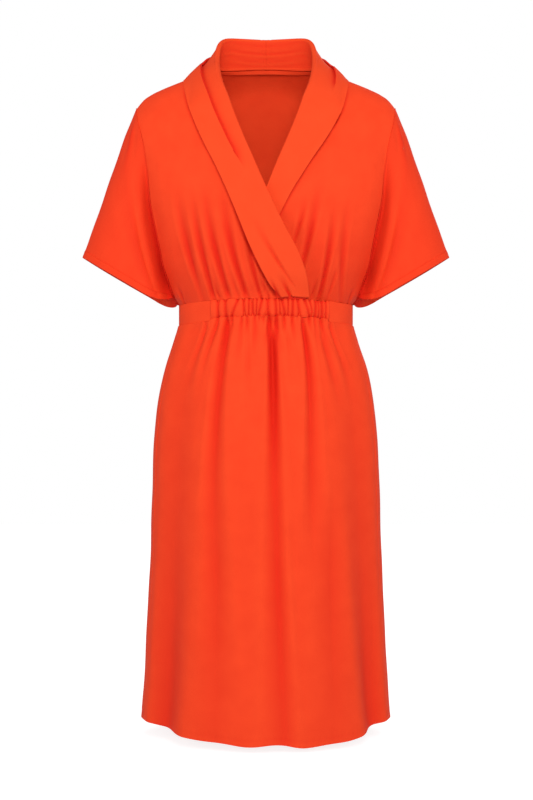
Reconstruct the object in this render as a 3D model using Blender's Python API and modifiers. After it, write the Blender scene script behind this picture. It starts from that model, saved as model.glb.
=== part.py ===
"""A-line midi dress with a crossed front, a shawl collar, wide set-in sleeves and a ruched waistband.

The dress is filled out as it is worn, with nothing inside it. +X is the wearer's left, the front
faces -Y and +Z is up. The origin is on the centre plane, level with the points where the shoulder
seams meet the neck, in the plane of the shoulder and side seams. Each cloth piece is an open
surface worked out from short tables of sections and folds, then thickened inwards with Solidify.

The upper body has one smooth outer form, drawn through the sections in BODICE. Both front panels,
the back and the armholes lie on it, and the collar is pushed out of it. A piece for one side is
worked out with x growing outwards, away from the centre plane, and is mirrored at the end.
"""

import math

import bpy
import numpy as np

COLLECTION = "a_line_dress"

# ---- driving sizes, in metres ---------------------------------------------------------------------
CLOTH = 0.0012                 # one layer of the crepe
COLLAR_CLOTH = 0.0018          # the faced collar
SEAM = 0.00035                 # half of the gap between pieces that are sewn together
COLLAR_LIFT = 0.0036           # outer face of the collar above the panel that it lies on
COLLAR_SHOULDER_LIFT = 0.0014  # how much more it stands off behind the neck and on the shoulder
COLLAR_ROLL_BACK = 0.0045      # radius of the collar's roll behind the neck
COLLAR_ROLL_FRONT = 0.00255    # and along the crossed fronts
COLLAR_ROLL_REACH = 0.0045     # how far the roll reaches past the edge of a crossed front
COLLAR_SWELL = 0.0075          # how far the fall of the collar swells between roll and edge
COLLAR_FLAT_FROM = 0.36        # share of its length where it stops standing up and starts to lie flat
COLLAR_FLAT_BLEND = 0.08
NECK_TAPE_WIDTH = 0.0040       # the strip that covers the back neck seam inside
NECK_TAPE_FOOT = 0.0005        # height of its lower edge above the seam
NECK_TAPE_CLOTH = 0.0010
WRAP_SINK = 0.0095             # how far the under panel lies below the upper one
WRAP_BLEND = 0.065             # width over which the under panel comes up beside the wrap
WRAP_TOP_Z = -0.14             # the fronts start to part here, coming down
WRAP_TOP_BLEND = 0.05          # and are fully apart this much lower

NECK_HALF_WIDTH = 0.083        # from the centre plane to the shoulder seam's inner end
NECK_DEPTH = 0.070             # how far the back neck seam stands behind the shoulder seams
NECK_BACK_RISE = 0.0127        # height of the back neck seam above the shoulder seams' inner ends
SHOULDER_TIP_X = 0.2145
SHOULDER_TIP_Z = -0.064
SHOULDER_ROUND_FRONT = 0.10    # height over which the front rounds over to the shoulder seam
SHOULDER_ROUND_BACK = 0.06

WAIST_HALF_WIDTH = 0.142
WAIST_DEPTH = 0.0955
BAND_TOP = -0.3844             # top edge of the waistband at centre front and centre back
BAND_HEIGHT = 0.0285
BAND_SIDE_DROP = 0.0065        # how much lower its top edge is at the side seams
BAND_SIDE_EXTRA = 0.0012       # how much taller the band is there
HEM_SIDE = -1.0680             # height of the hem at the side seams
HEM_FRONT_DROP = 0.0150        # how much lower it hangs at centre front
HEM_FRONT_SLANT = 0.0030       # and how much lower left of there than right of it
HEM_BACK_DROP = 0.0060
SIDE_SEAM = math.radians(74)   # angle of the skirt's and band's side seams from centre front

SLEEVE_TOP_X, SLEEVE_TOP_Z = 0.3011, -0.3117       # outer corner of the sleeve hem
SLEEVE_INNER_X, SLEEVE_INNER_Z = 0.1475, -0.4035   # where its line would end, under the arm
SLEEVE_HEM_DEPTH = 0.055                           # half of the hem's width from front to back
SLEEVE_FRONT_VALLEY = 0.016                        # depth of the long hollow beside the armhole
SLEEVE_BACK_VALLEY = 0.010
UNDERARM_CLEAR_X, UNDERARM_CLEAR_Z = 0.0010, 0.0015  # wider seam gap where front, back and band meet

# ---- how finely the pieces are drawn ---------------------------------------------------------------
BODICE_ROWS, PANEL_COLUMNS, BACK_NECK_COLUMNS, BACK_SHOULDER_COLUMNS = 13, 13, 5, 6
SLEEVE_ROWS = 6
COLLAR_LEG, COLLAR_TURN, COLLAR_FALL = 1, 3, 4
BAND_ROWS, BAND_COLUMNS = 1, 22
SKIRT_ROWS, SKIRT_COLUMNS = 13, 30


def table(names, *rows):
    """The named columns of a short table, one row for each section or fold."""
    return dict(zip(names.split(), np.array(rows, dtype=float).T))


# Sections of the upper body from the neck down. The armhole columns are where the sleeve is sewn on.
BODICE = table(
    "z       armhole_x  armhole_depth  front_depth  back_depth",
    (+0.040, 0.2250, 0.055, 0.040, 0.088),
    (+0.000, 0.2200, 0.055, 0.048, 0.091),
    (-0.050, 0.2160, 0.055, 0.074, 0.094),
    (-0.064, 0.2145, 0.055, 0.080, 0.095),
    (-0.094, 0.2080, 0.058, 0.092, 0.098),
    (-0.126, 0.1985, 0.060, 0.101, 0.102),
    (-0.168, 0.1913, 0.063, 0.110, 0.105),
    (-0.225, 0.1860, 0.065, 0.116, 0.104),
    (-0.265, 0.1782, 0.062, 0.117, 0.102),
    (-0.304, 0.1707, 0.055, 0.115, 0.100),
    (-0.3277, 0.1664, 0.047, 0.112, 0.099),
    (-0.3588, 0.1561, 0.032, 0.105, 0.098),
    (-0.382, 0.1474, 0.014, 0.0968, 0.0965),
    (-0.3905, WAIST_HALF_WIDTH, 0.0, WAIST_DEPTH, WAIST_DEPTH),
)

# The shoulder seam, seen from the front, carried on to the centre plane.
SHOULDER = table(
    "x      z",
    (0.0000, 0.0347),
    (0.0300, 0.0295),
    (0.0500, 0.0211),
    (0.0700, 0.0092),
    (NECK_HALF_WIDTH, 0.0000),
    (0.1335, -0.0197),
    (0.1700, -0.0345),
    (0.1910, -0.0436),
    (0.2030, -0.0510),
    (SHOULDER_TIP_X, SHOULDER_TIP_Z),
    (0.2300, -0.0880),
)

# The front panels' inner edges, where the collar is sewn on. Below z = -0.2 they cross the centre.
FRONT_EDGE = table(
    "z       x",
    (0.0000, NECK_HALF_WIDTH),
    (-0.0220, 0.0810),
    (-0.0450, 0.0730),
    (-0.0666, 0.0640),
    (-0.1043, 0.0494),
    (-0.1345, 0.0373),
    (-0.1677, 0.0230),
    (-0.1999, 0.0096),
    (-0.2319, -0.0053),
    (-0.2620, -0.0194),
    (-0.3166, -0.0484),
    (-0.3505, -0.0600),
    (BAND_TOP, -0.0642),
)

# The collar from centre back (0) to the front waist (1): its roll, where it turns over, its free
# edge, and the share of its full width that the side under the wrap has.
COLLAR = table(
    "t     roll_x   roll_y   roll_z   edge_x   edge_y   edge_z  under_width",
    (0.00, 0.0000, 0.0780, 0.0670, 0.0000, 0.1020, -0.0140, 1.00),
    (0.07, 0.0500, 0.0690, 0.0672, 0.0700, 0.0930, -0.0240, 1.00),
    (0.11, 0.0702, 0.0565, 0.0645, 0.1020, 0.0740, -0.0290, 1.00),
    (0.14, 0.0768, 0.0440, 0.0572, 0.1180, 0.0580, -0.0300, 1.00),
    (0.20, 0.0806, 0.0180, 0.0360, 0.1330, 0.0250, -0.0260, 1.00),
    (0.25, 0.0802, -0.0050, 0.0150, 0.1350, -0.0020, -0.0185, 1.00),
    (0.29, 0.0776, -0.0290, -0.0040, 0.1320, -0.0350, -0.0400, 1.00),
    (0.33, 0.0706, -0.0530, -0.0310, 0.1270, -0.0620, -0.0630, 1.00),
    (0.38, 0.0590, -0.0810, -0.0600, 0.1207, -0.0780, -0.0840, 1.00),
    (0.46, 0.0447, -0.0980, -0.1043, 0.1007, -0.0900, -0.1312, 0.92),
    (0.56, 0.0218, -0.1110, -0.1590, 0.0755, -0.1000, -0.1810, 0.80),
    (0.68, -0.0050, -0.1180, -0.2204, 0.0475, -0.1110, -0.2451, 0.66),
    (0.80, -0.0336, -0.1190, -0.2819, 0.0218, -0.1150, -0.3083, 0.62),
    (0.90, -0.0600, -0.1130, -0.3330, -0.0023, -0.1080, -0.3553, 0.62),
    (1.00, -0.0693, -0.0990, -0.3830, -0.0239, -0.1000, -0.3835, 0.62),
)
NECK_SHARE = 0.25              # share of the collar that is sewn to the back neck

# How far the sleeve's hem runs above its straight line, by the share of the way round it from the
# outer corner: down the front to the inner end under the arm (0.5) and back up the back (1).
SLEEVE_HEM_RISE = table(
    "turn   rise",
    (0.000, 0.0000),
    (0.270, 0.0000),
    (0.330, 0.0010),
    (0.400, 0.0125),
    (0.440, 0.0210),
    (0.500, 0.0180),
    (0.560, 0.0085),
    (0.620, 0.0020),
    (0.700, 0.0010),
    (0.800, 0.0000),
    (1.000, 0.0000),
)

# The skirt's rings from the waistband down.
SKIRT = table(
    "z       half_width  front_depth  back_depth",
    (-0.4000, WAIST_HALF_WIDTH, WAIST_DEPTH, WAIST_DEPTH),
    (-0.4180, 0.1425, 0.0965, 0.0965),
    (-0.4500, 0.1510, 0.1070, 0.1070),
    (-0.4900, 0.1643, 0.1170, 0.1200),
    (-0.5400, 0.1750, 0.1250, 0.1310),
    (-0.6000, 0.1820, 0.1305, 0.1380),
    (-0.7000, 0.1862, 0.1340, 0.1400),
    (-0.8000, 0.1893, 0.1370, 0.1410),
    (-0.9200, 0.1952, 0.1420, 0.1450),
    (-1.0200, 0.2002, 0.1460, 0.1480),
    (-1.0900, 0.2062, 0.1490, 0.1500),
)

# Troughs that run up from the waistband: where each starts, where it ends, how deep and wide it is.
FOLD_COLUMNS = "waist_x  top_x   top_z    depth   width"
UPPER_FRONT_FOLDS = table(
    FOLD_COLUMNS,
    (0.1120, 0.1415, -0.2400, 0.0036, 0.0150),
    (0.0852, 0.1209, -0.2400, 0.0042, 0.0130),
    (0.0600, 0.0990, -0.2400, 0.0048, 0.0130),
    (0.0300, 0.0650, -0.2450, 0.0048, 0.0140),
)
UNDER_FRONT_FOLDS = table(
    FOLD_COLUMNS,
    (0.0855, 0.1090, -0.2700, 0.0046, 0.0120),
    (0.0500, 0.0850, -0.2480, 0.0040, 0.0130),
    (0.1180, 0.1340, -0.2500, 0.0038, 0.0130),
)
BACK_FOLDS = table(
    FOLD_COLUMNS,
    (-0.1050, -0.1300, -0.2600, 0.0040, 0.0140),
    (-0.0700, -0.0860, -0.2200, 0.0048, 0.0140),
    (-0.0270, -0.0310, -0.2700, 0.0042, 0.0130),
    (0.0140, 0.0180, -0.2450, 0.0048, 0.0140),
    (0.0560, 0.0700, -0.2800, 0.0042, 0.0130),
    (0.0930, 0.1180, -0.2350, 0.0046, 0.0150),
)

# Folds of the skirt by their angle from its centre, in degrees, and their depth down the skirt.
SKIRT_FOLD_COLUMNS = "top_angle  hem_angle  top_depth  middle_depth  hem_depth  width"
SKIRT_FRONT_FOLDS = table(
    SKIRT_FOLD_COLUMNS,
    (-25, -29, 0.0085, 0.0060, 0.0000, 10),
    (4, 12, 0.0110, 0.0090, 0.0080, 9),
    (26, 27, 0.0080, 0.0050, 0.0000, 10),
    (-52, -57, 0.0040, 0.0030, 0.0230, 15),
    (50, 58, 0.0040, 0.0030, 0.0220, 15),
    (-10, -16, 0.0040, 0.0020, 0.0050, 12),
)
SKIRT_BACK_FOLDS = table(
    SKIRT_FOLD_COLUMNS,
    (-52, -60, 0.0045, 0.0030, 0.0070, 12),
    (-30, -33, 0.0090, 0.0060, 0.0020, 10),
    (-6, -14, 0.0100, 0.0085, 0.0080, 10),
    (21, 24, 0.0085, 0.0060, 0.0030, 10),
    (46, 55, 0.0050, 0.0035, 0.0070, 12),
)


# ---- curves -----------------------------------------------------------------------------------------
def smooth(rows, column, at, key):
    """A table's column at any key, on cubics through its rows with slopes from their neighbours."""
    order = np.argsort(rows[key])
    x, y = rows[key][order], rows[column][order]
    slope = np.gradient(y, x)
    at = np.clip(np.asarray(at, dtype=float), x[0], x[-1])
    low = np.clip(np.searchsorted(x, at, side="right") - 1, 0, len(x) - 2)
    width = x[low + 1] - x[low]
    s = (at - x[low]) / width
    start = (2 * s**3 - 3 * s**2 + 1) * y[low] + (s**3 - 2 * s**2 + s) * width * slope[low]
    end = (3 * s**2 - 2 * s**3) * y[low + 1] + (s**3 - s**2) * width * slope[low + 1]
    return start + end


def step(value):
    """0 below 0, 1 above 1, and a smooth rise between."""
    value = np.clip(value, 0.0, 1.0)
    return value * value * (3 - 2 * value)


def bump(distance, width):
    """1 on a fold's line, falling smoothly to 0 at its width on both sides."""
    return step(1 - np.abs(distance) / width)


def mix(a, b, share):
    """The point or number that lies a share of the way from a to b."""
    return a + (b - a) * share


def unit(vectors):
    """Vectors of length 1 in the same directions."""
    return vectors / np.maximum(np.linalg.norm(vectors, axis=-1, keepdims=True), 1e-9)


# ---- the outer form of the upper body ---------------------------------------------------------------
def shoulder_height(x):
    return smooth(SHOULDER, "z", np.abs(x), "x")


def full_depth(x, z, column):
    """Depth at x and z before the shoulder rounds it: an ellipse from the centre to the armhole."""
    centre = smooth(BODICE, column, z, "z")
    seam = smooth(BODICE, "armhole_depth", z, "z")
    across = np.clip(np.abs(x) / smooth(BODICE, "armhole_x", z, "z"), 0.0, 1.0)
    return np.sqrt(np.maximum(centre**2 - (centre**2 - seam**2) * across**2, 0.0))


def rounding(x, z, height):
    """0 on the shoulder line and 1 from that height below it, along a quarter of an ellipse."""
    below = np.clip((shoulder_height(x) - z) / height, 0.0, 1.0)
    return np.sqrt(1 - (1 - below)**2)


def front_depth(x, z):
    return full_depth(x, z, "front_depth") * rounding(x, z, SHOULDER_ROUND_FRONT)


def back_depth(x, z):
    return full_depth(x, z, "back_depth") * rounding(x, z, SHOULDER_ROUND_BACK)


def wrap_sink(x, z):
    """How far the under panel lies inside the form. x grows towards that panel's own side."""
    upper_edge = -smooth(FRONT_EDGE, "x", z, "z")
    covered = step((upper_edge + WRAP_BLEND - x) / WRAP_BLEND)
    return WRAP_SINK * covered * step((WRAP_TOP_Z - z) / WRAP_TOP_BLEND)


def fold_depth(folds, x, z, waist_z):
    """Depth of the troughs above the waistband at x and z."""
    total = np.zeros(np.broadcast(x, z).shape)
    for waist_x, top_x, top_z, depth, width in zip(*folds.values()):
        up = (z - waist_z) / (top_z - waist_z)
        line = mix(waist_x, top_x, np.clip(up, 0, 1.3))
        along = step((1.25 - up) / 0.7) * mix(0.35, 1.0, step(up / 0.12))
        total = total + depth * along * bump(x - line, width)
    return total


def waist_height(x):
    """Height of the waistband's top edge."""
    return BAND_TOP - BAND_SIDE_DROP * (np.abs(x) / WAIST_HALF_WIDTH)**2


def outside_form(points, under):
    """About how far each point lies outside the form, and the way out. Under is the wrapped side."""
    def reach(p):
        x, y, z = p[..., 0], p[..., 1], p[..., 2]
        front = y < 0
        height = np.where(front, SHOULDER_ROUND_FRONT, SHOULDER_ROUND_BACK)
        sink = wrap_sink(x, z) if under else 0.0
        depth = np.where(front, full_depth(x, z, "front_depth") - sink, full_depth(x, z, "back_depth"))
        rise = np.maximum(z - (shoulder_height(x) - height), 0.0) / height
        return np.sqrt((y / depth)**2 + rise**2) - 1

    probe = 0.001
    here = reach(points)
    slope = np.stack([(reach(points + probe * axis) - reach(points - probe * axis)) / (2 * probe)
                      for axis in np.eye(3)], axis=-1)
    steepness = np.maximum(np.linalg.norm(slope, axis=-1), 1e-6)
    return here / steepness, slope / steepness[..., None]


def lay_on_form(points, lift, under, laid):
    """The points at least lift outside the form, and at lift exactly where laid is 1."""
    for _ in range(4):
        gap, way_out = outside_form(points, under)
        move = np.where(gap < lift, lift - gap, laid * (lift - gap))
        points = points + way_out * move[..., None]
    return points


# ---- the pieces' surfaces, as grids of points --------------------------------------------------------
def down(v):
    """Share of the way down the bodice for a row: close rows at the shoulder and at the waist."""
    return (1 - np.cos(math.pi * v)) / 2


def armhole(v, column, height):
    """The armhole seam on the front or the back, from the shoulder tip (0) to the underarm (1)."""
    z = mix(SHOULDER_TIP_Z, waist_height(WAIST_HALF_WIDTH) + SEAM, down(v))
    x = smooth(BODICE, "armhole_x", z, "z")
    y = full_depth(x, z, column) * rounding(x, z, height)
    return x, y, z


def panel_rows(inner_x, inner_z, v, u):
    """x and z of a front from its inner edge (u = 0) to the armhole, in rows from shoulder to waist.

    Across, the columns stand at even angles of a circle as wide as the armhole. Along the top the
    rows follow the shoulder seam, and along the bottom the waistband.
    """
    outer_x, _, outer_z = armhole(v, "front_depth", SHOULDER_ROUND_FRONT)
    start = np.arcsin(np.clip(inner_x / outer_x, -1, 1))
    x = outer_x * np.sin(mix(start, math.pi / 2, u))
    share = (x - inner_x) / (outer_x - inner_x)
    z = mix(inner_z, outer_z, share)
    top_line = mix(NECK_HALF_WIDTH, SHOULDER_TIP_X, share[:1])
    top_bend = shoulder_height(top_line) - mix(0.0, SHOULDER_TIP_Z, share[:1])
    waist_bend = waist_height(x[-1:]) + SEAM - z[-1:]
    return x, z + (1 - v)**2 * top_bend + v**4 * waist_bend


def front_panel(side):
    """One front panel: side is -1 for the upper (wearer's right) one and 1 for the under one."""
    v = np.linspace(0, 1, BODICE_ROWS + 1)[:, None]
    u = np.linspace(0, 1, PANEL_COLUMNS + 1)[None, :]
    inner_z = mix(0.0, BAND_TOP + SEAM, down(v))
    inner_x = smooth(FRONT_EDGE, "x", inner_z, "z")
    x, z = panel_rows(inner_x, inner_z, v, u)
    under = side > 0
    folds = UNDER_FRONT_FOLDS if under else UPPER_FRONT_FOLDS
    depth = front_depth(x, z) - fold_depth(folds, x, z, BAND_TOP)
    if under:
        depth = depth - wrap_sink(x, z)
    y = -np.maximum(depth, 0.0) - SEAM
    return np.stack([side * x, y, z], axis=-1)


def back_neck(share):
    """The back neck seam from centre back (0) to the shoulder seam (1)."""
    angle = share * math.pi / 2
    return np.stack([NECK_HALF_WIDTH * np.sin(angle), NECK_DEPTH * np.cos(angle),
                     NECK_BACK_RISE * np.cos(angle)**2], axis=-1)


def back_panel():
    """The back in one piece, from armhole to armhole. Its top columns follow the neck and shoulders."""
    v = np.linspace(0, 1, BODICE_ROWS + 1)[:, None]
    neck_turn = np.linspace(0, 1, BACK_NECK_COLUMNS + 1)
    shoulder_turn = np.linspace(0, 1, BACK_SHOULDER_COLUMNS + 1)[1:]
    neck_x = NECK_HALF_WIDTH * np.sin(neck_turn * math.pi / 2)
    shoulder_x = mix(NECK_HALF_WIDTH, SHOULDER_TIP_X, np.sin(shoulder_turn * math.pi / 2))
    top_x = np.concatenate([neck_x, shoulder_x])
    even = np.sin(np.linspace(0, math.pi / 2, len(top_x)))
    top_x = np.concatenate([-top_x[:0:-1], top_x])[None, :]
    even = np.concatenate([-even[:0:-1], even])[None, :]
    outer_x, _, outer_z = armhole(v, "back_depth", SHOULDER_ROUND_BACK)
    x = mix(even * outer_x, top_x * outer_x / SHOULDER_TIP_X, (1 - v)**2)
    inner_z = mix(NECK_BACK_RISE, BAND_TOP + SEAM, down(v))
    inside_neck = np.clip(1 - (top_x / NECK_HALF_WIDTH)**2, 0, 1)
    top_z = np.where(inside_neck > 0, NECK_BACK_RISE * inside_neck, shoulder_height(top_x))
    z = mix(inner_z, outer_z, (x / outer_x)**2)
    z = z + (1 - v)**2 * (top_z - z[:1]) + v**4 * (waist_height(x[-1:]) + SEAM - z[-1:])
    depth = back_depth(x, z) - fold_depth(BACK_FOLDS, x, z, BAND_TOP)
    neck_line = np.sqrt(inside_neck) * NECK_DEPTH
    depth = mix(depth, neck_line, np.where(inside_neck > 0, (1 - v)**8, 0.0))
    return np.stack([x, np.maximum(depth, 0.0) + SEAM, z], axis=-1)


def sleeve(side):
    """A wide sleeve from the armhole to its slanting hem, drawn round from the shoulder tip."""
    v = np.linspace(0, 1, BODICE_ROWS + 1)
    front_x, front_y, front_z = armhole(v, "front_depth", SHOULDER_ROUND_FRONT)
    back_x, back_y, back_z = armhole(v, "back_depth", SHOULDER_ROUND_BACK)
    top = np.stack([np.concatenate([front_x, back_x[-2:0:-1]]),
                    np.concatenate([-front_y, back_y[-2:0:-1]]),
                    np.concatenate([front_z, back_z[-2:0:-1]])], axis=-1)
    turn = np.concatenate([v, 2 - v[-2:0:-1]]) / 2
    top[:, 0] += 2 * SEAM + UNDERARM_CLEAR_X * bump(turn - 0.5, 0.2)
    top[:, 2] += UNDERARM_CLEAR_Z * bump(turn - 0.5, 0.1)
    angle = 2 * math.pi * turn
    out = (1 + np.cos(angle)) / 2
    line_z = mix(SLEEVE_INNER_Z, SLEEVE_TOP_Z, out)
    hem = np.stack([mix(SLEEVE_INNER_X, SLEEVE_TOP_X, out),
                    -SLEEVE_HEM_DEPTH * np.sin(angle),
                    line_z + smooth(SLEEVE_HEM_RISE, "rise", turn, "turn")], axis=-1)
    s = np.linspace(0, 1, SLEEVE_ROWS + 1)[:, None, None]
    points = mix(top[None], hem[None], s)
    valley = SLEEVE_FRONT_VALLEY * bump(turn - 0.33, 0.16) + SLEEVE_BACK_VALLEY * bump(turn - 0.68, 0.16)
    sink = np.sin(math.pi * s[..., 0]**0.8) * valley
    points[..., 1] += sink * np.sign(np.sin(angle))
    return points * np.array([side, 1, 1])


def collar_seam(t, under):
    """The line along which the collar is sewn to the back neck and to the front panel's edge."""
    behind = back_neck(np.clip(t / NECK_SHARE, 0, 1))
    along = np.clip((t - NECK_SHARE) / (1 - NECK_SHARE), 0, 1)
    z = mix(0.0, BAND_TOP + 2 * SEAM, along)
    x = smooth(FRONT_EDGE, "x", z, "z") - 2 * SEAM
    sink = wrap_sink(x, z) if under else 0.0
    before = np.stack([x, -(front_depth(x, z) - sink), z], axis=-1)
    return np.where((t < NECK_SHARE)[:, None], behind, before)


def collar_stations():
    """Where the collar is drawn: at the back neck's columns and at the front panel's rows."""
    front = down(np.linspace(0, 1, BODICE_ROWS + 1))
    behind = np.linspace(0, NECK_SHARE, BACK_NECK_COLUMNS + 1)[:-1]
    return np.concatenate([behind, mix(NECK_SHARE, 1.0, front)])


def collar_frame(t, under):
    """The collar's seam, roll and free edge, with the ways up to its roll and out from the neck.

    Behind the neck the collar stands up from its seam. In front it lies flat, so there the roll is
    at the seam's own depth and the seam's inner face is level with the inside of the panel.
    """
    seam = collar_seam(t, under)
    roll = np.stack([smooth(COLLAR, name, t, "t") for name in ("roll_x", "roll_y", "roll_z")], axis=-1)
    edge = np.stack([smooth(COLLAR, name, t, "t") for name in ("edge_x", "edge_y", "edge_z")], axis=-1)
    if under:
        edge = mix(roll, edge, smooth(COLLAR, "under_width", t, "t")[:, None])
    in_front = step((t - COLLAR_FLAT_FROM) / COLLAR_FLAT_BLEND)[:, None]
    level = seam - np.array([COLLAR_ROLL_REACH, 0, 0])
    roll = mix(roll, level, in_front)
    up = unit(roll - seam)
    outward = np.stack([seam[:, 0], seam[:, 1] - 0.01, 0 * t], axis=-1)
    outward = unit(outward - (outward * up).sum(-1, keepdims=True) * up)
    return seam, roll, edge, up, outward, in_front


def collar_leg(t, under):
    """The collar from its seam up to where it starts to turn over, as two lines of points."""
    seam, roll, _, up, outward, in_front = collar_frame(t, under)
    radius = mix(COLLAR_ROLL_BACK, COLLAR_ROLL_FRONT, step((t - NECK_SHARE) / 0.2))[:, None]
    inner_face = COLLAR_CLOTH - SEAM
    seam = seam - inner_face * in_front * outward + 2 * SEAM * (1 - in_front) * up
    centre = roll - up * radius + outward * (radius - inner_face) * in_front
    return seam, centre - radius * outward, centre, radius


def collar_half(side):
    """One half of the collar: up inside the neck from its seam, over the roll and down to its edge."""
    under = side > 0
    t = collar_stations()
    _, _, edge, up, outward, in_front = collar_frame(t, under)
    seam, leg_top, centre, radius = collar_leg(t, under)
    leg = [mix(seam, leg_top, share) for share in np.linspace(0, 1, COLLAR_LEG + 1)[:-1]]
    turn = np.linspace(0, math.pi, COLLAR_TURN + 1)
    arc = [centre + radius * (-outward * math.cos(a) + up * math.sin(a)) for a in turn]
    chord = unit(edge - arc[-1])
    swell = unit(outward - (outward * chord).sum(-1, keepdims=True) * chord)
    fall = [mix(arc[-1], edge, share) + swell * (4 * COLLAR_SWELL * share * (1 - share))
            for share in np.linspace(0, 1, COLLAR_FALL + 1)[1:]]
    lift = COLLAR_LIFT + COLLAR_SHOULDER_LIFT * (1 - in_front[:, 0])
    fall = [lay_on_form(line, lift, under, in_front[:, 0]) for line in fall]
    points = np.stack(leg + arc + fall, axis=1)
    points[:, :, 0] += SEAM
    return points * np.array([side, 1, 1])


def neck_tape():
    """The strip over the back neck seam, on the inner face of the collar's standing part."""
    t = collar_stations()[:BACK_NECK_COLUMNS + 1]
    seam, leg_top, _, _ = collar_leg(t, False)
    _, _, _, _, outward, _ = collar_frame(t, False)
    inward = -outward * (NECK_TAPE_CLOTH + 2 * SEAM)
    along = unit(leg_top - seam)
    foot = seam + inward + along * NECK_TAPE_FOOT
    half = np.stack([foot, foot + along * NECK_TAPE_WIDTH], axis=1)
    return np.concatenate([half[:0:-1] * np.array([-1, 1, 1]), half])


def half_turn(facing, columns):
    """Angles from centre front across the front (1) or the back (-1), just short of its side seams."""
    gap = SEAM / WAIST_DEPTH
    if facing > 0:
        return np.linspace(-SIDE_SEAM + gap, SIDE_SEAM - gap, columns + 1)[None, :]
    return np.linspace(SIDE_SEAM + gap, 2 * math.pi - SIDE_SEAM - gap, columns + 1)[None, :]


def waistband(facing):
    """The front (1) or the back (-1) of the waistband, its inner face on the waist's ellipse."""
    angle = half_turn(facing, BAND_COLUMNS)
    share = np.linspace(0, 1, BAND_ROWS + 1)[:, None]
    x = (WAIST_HALF_WIDTH + CLOTH) * np.sin(angle)
    y = -(WAIST_DEPTH + CLOTH) * np.cos(angle)
    height = BAND_HEIGHT + BAND_SIDE_EXTRA * np.sin(angle)**2 - 2 * SEAM
    z = waist_height(WAIST_HALF_WIDTH * np.sin(angle)) - SEAM - share * height
    return np.stack([x + 0 * z, y + 0 * z, z], axis=-1)


def skirt_fold_depth(folds, degrees, share):
    """Depth of the skirt's folds at an angle from its centre and a share of the way down."""
    total = np.zeros(np.broadcast(degrees, share).shape)
    for top, hem, top_depth, middle_depth, hem_depth, width in zip(*folds.values()):
        depth = mix(top_depth, middle_depth, step(share / 0.45))
        depth = mix(depth, hem_depth, step((share - 0.45) / 0.55)) * step(share / 0.03 + 0.3)
        total = total + depth * bump(degrees - mix(top, hem, share**1.5), width)
    return total


def skirt(facing):
    """The front (1) or the back (-1) of the skirt, from the waistband to the hem.

    Its inner face follows the rings, less the folds, which run down it and grow towards the hem.
    """
    angle = half_turn(facing, SKIRT_COLUMNS)
    share = (np.linspace(0, 1, SKIRT_ROWS + 1)**1.15)[:, None]
    in_front = np.cos(angle) > 0
    top = waist_height(WAIST_HALF_WIDTH * np.sin(angle)) - BAND_HEIGHT - SEAM
    top = top - BAND_SIDE_EXTRA * np.sin(angle)**2
    towards_side = np.sin(angle) / math.sin(SIDE_SEAM)
    hem = HEM_SIDE - np.where(in_front, HEM_FRONT_DROP, HEM_BACK_DROP) * (1 - towards_side**4)
    hem = hem - np.where(in_front, HEM_FRONT_SLANT * np.sin(math.pi * angle / SIDE_SEAM), 0.0)
    z = mix(top, hem, share)
    sink = skirt_fold_depth(SKIRT_FRONT_FOLDS, np.degrees(angle), share)
    sink = sink + skirt_fold_depth(SKIRT_BACK_FOLDS, 180 - np.degrees(angle), share)
    half_width = smooth(SKIRT, "half_width", z, "z")
    depth = np.where(in_front, smooth(SKIRT, "front_depth", z, "z"), smooth(SKIRT, "back_depth", z, "z"))
    out = unit(np.stack([np.sin(angle) / half_width, -np.cos(angle) / depth], axis=-1))
    x = half_width * np.sin(angle) + (CLOTH - sink) * out[..., 0]
    y = -depth * np.cos(angle) + (CLOTH - sink) * out[..., 1]
    return np.stack([x, y, z], axis=-1)


# ---- making the objects -------------------------------------------------------------------------------
def cloth_material(name, colour, roughness):
    """A Principled material for a dyed cloth. The colour is linear."""
    material = bpy.data.materials.new(name)
    material.use_nodes = True
    shader = material.node_tree.nodes["Principled BSDF"]
    shader.inputs["Base Color"].default_value = (*colour, 1.0)
    shader.inputs["Roughness"].default_value = roughness
    shader.inputs["Metallic"].default_value = 0.0
    return material


def loft(name, points, thickness, material, collection, turned=False, closed=False):
    """A shell through a grid of points, thickened inwards. turned swaps its two faces."""
    rows, columns = points.shape[:2]
    index = np.arange(rows * columns).reshape(rows, columns)
    here = index if closed else index[:, :-1]
    beside = np.roll(index, -1, axis=1) if closed else index[:, 1:]
    quads = np.stack([here[:-1], beside[:-1], beside[1:], here[1:]], axis=-1).reshape(-1, 4)
    if turned:
        quads = quads[:, ::-1]
    mesh = bpy.data.meshes.new(name)
    mesh.from_pydata(points.reshape(-1, 3).tolist(), [], quads.tolist())
    mesh.shade_smooth()
    mesh.materials.append(material)
    piece = bpy.data.objects.new(name, mesh)
    collection.objects.link(piece)
    shell = piece.modifiers.new("cloth", "SOLIDIFY")
    shell.thickness = thickness
    shell.offset = -1.0
    shell.use_quality_normals = True
    return piece


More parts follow.
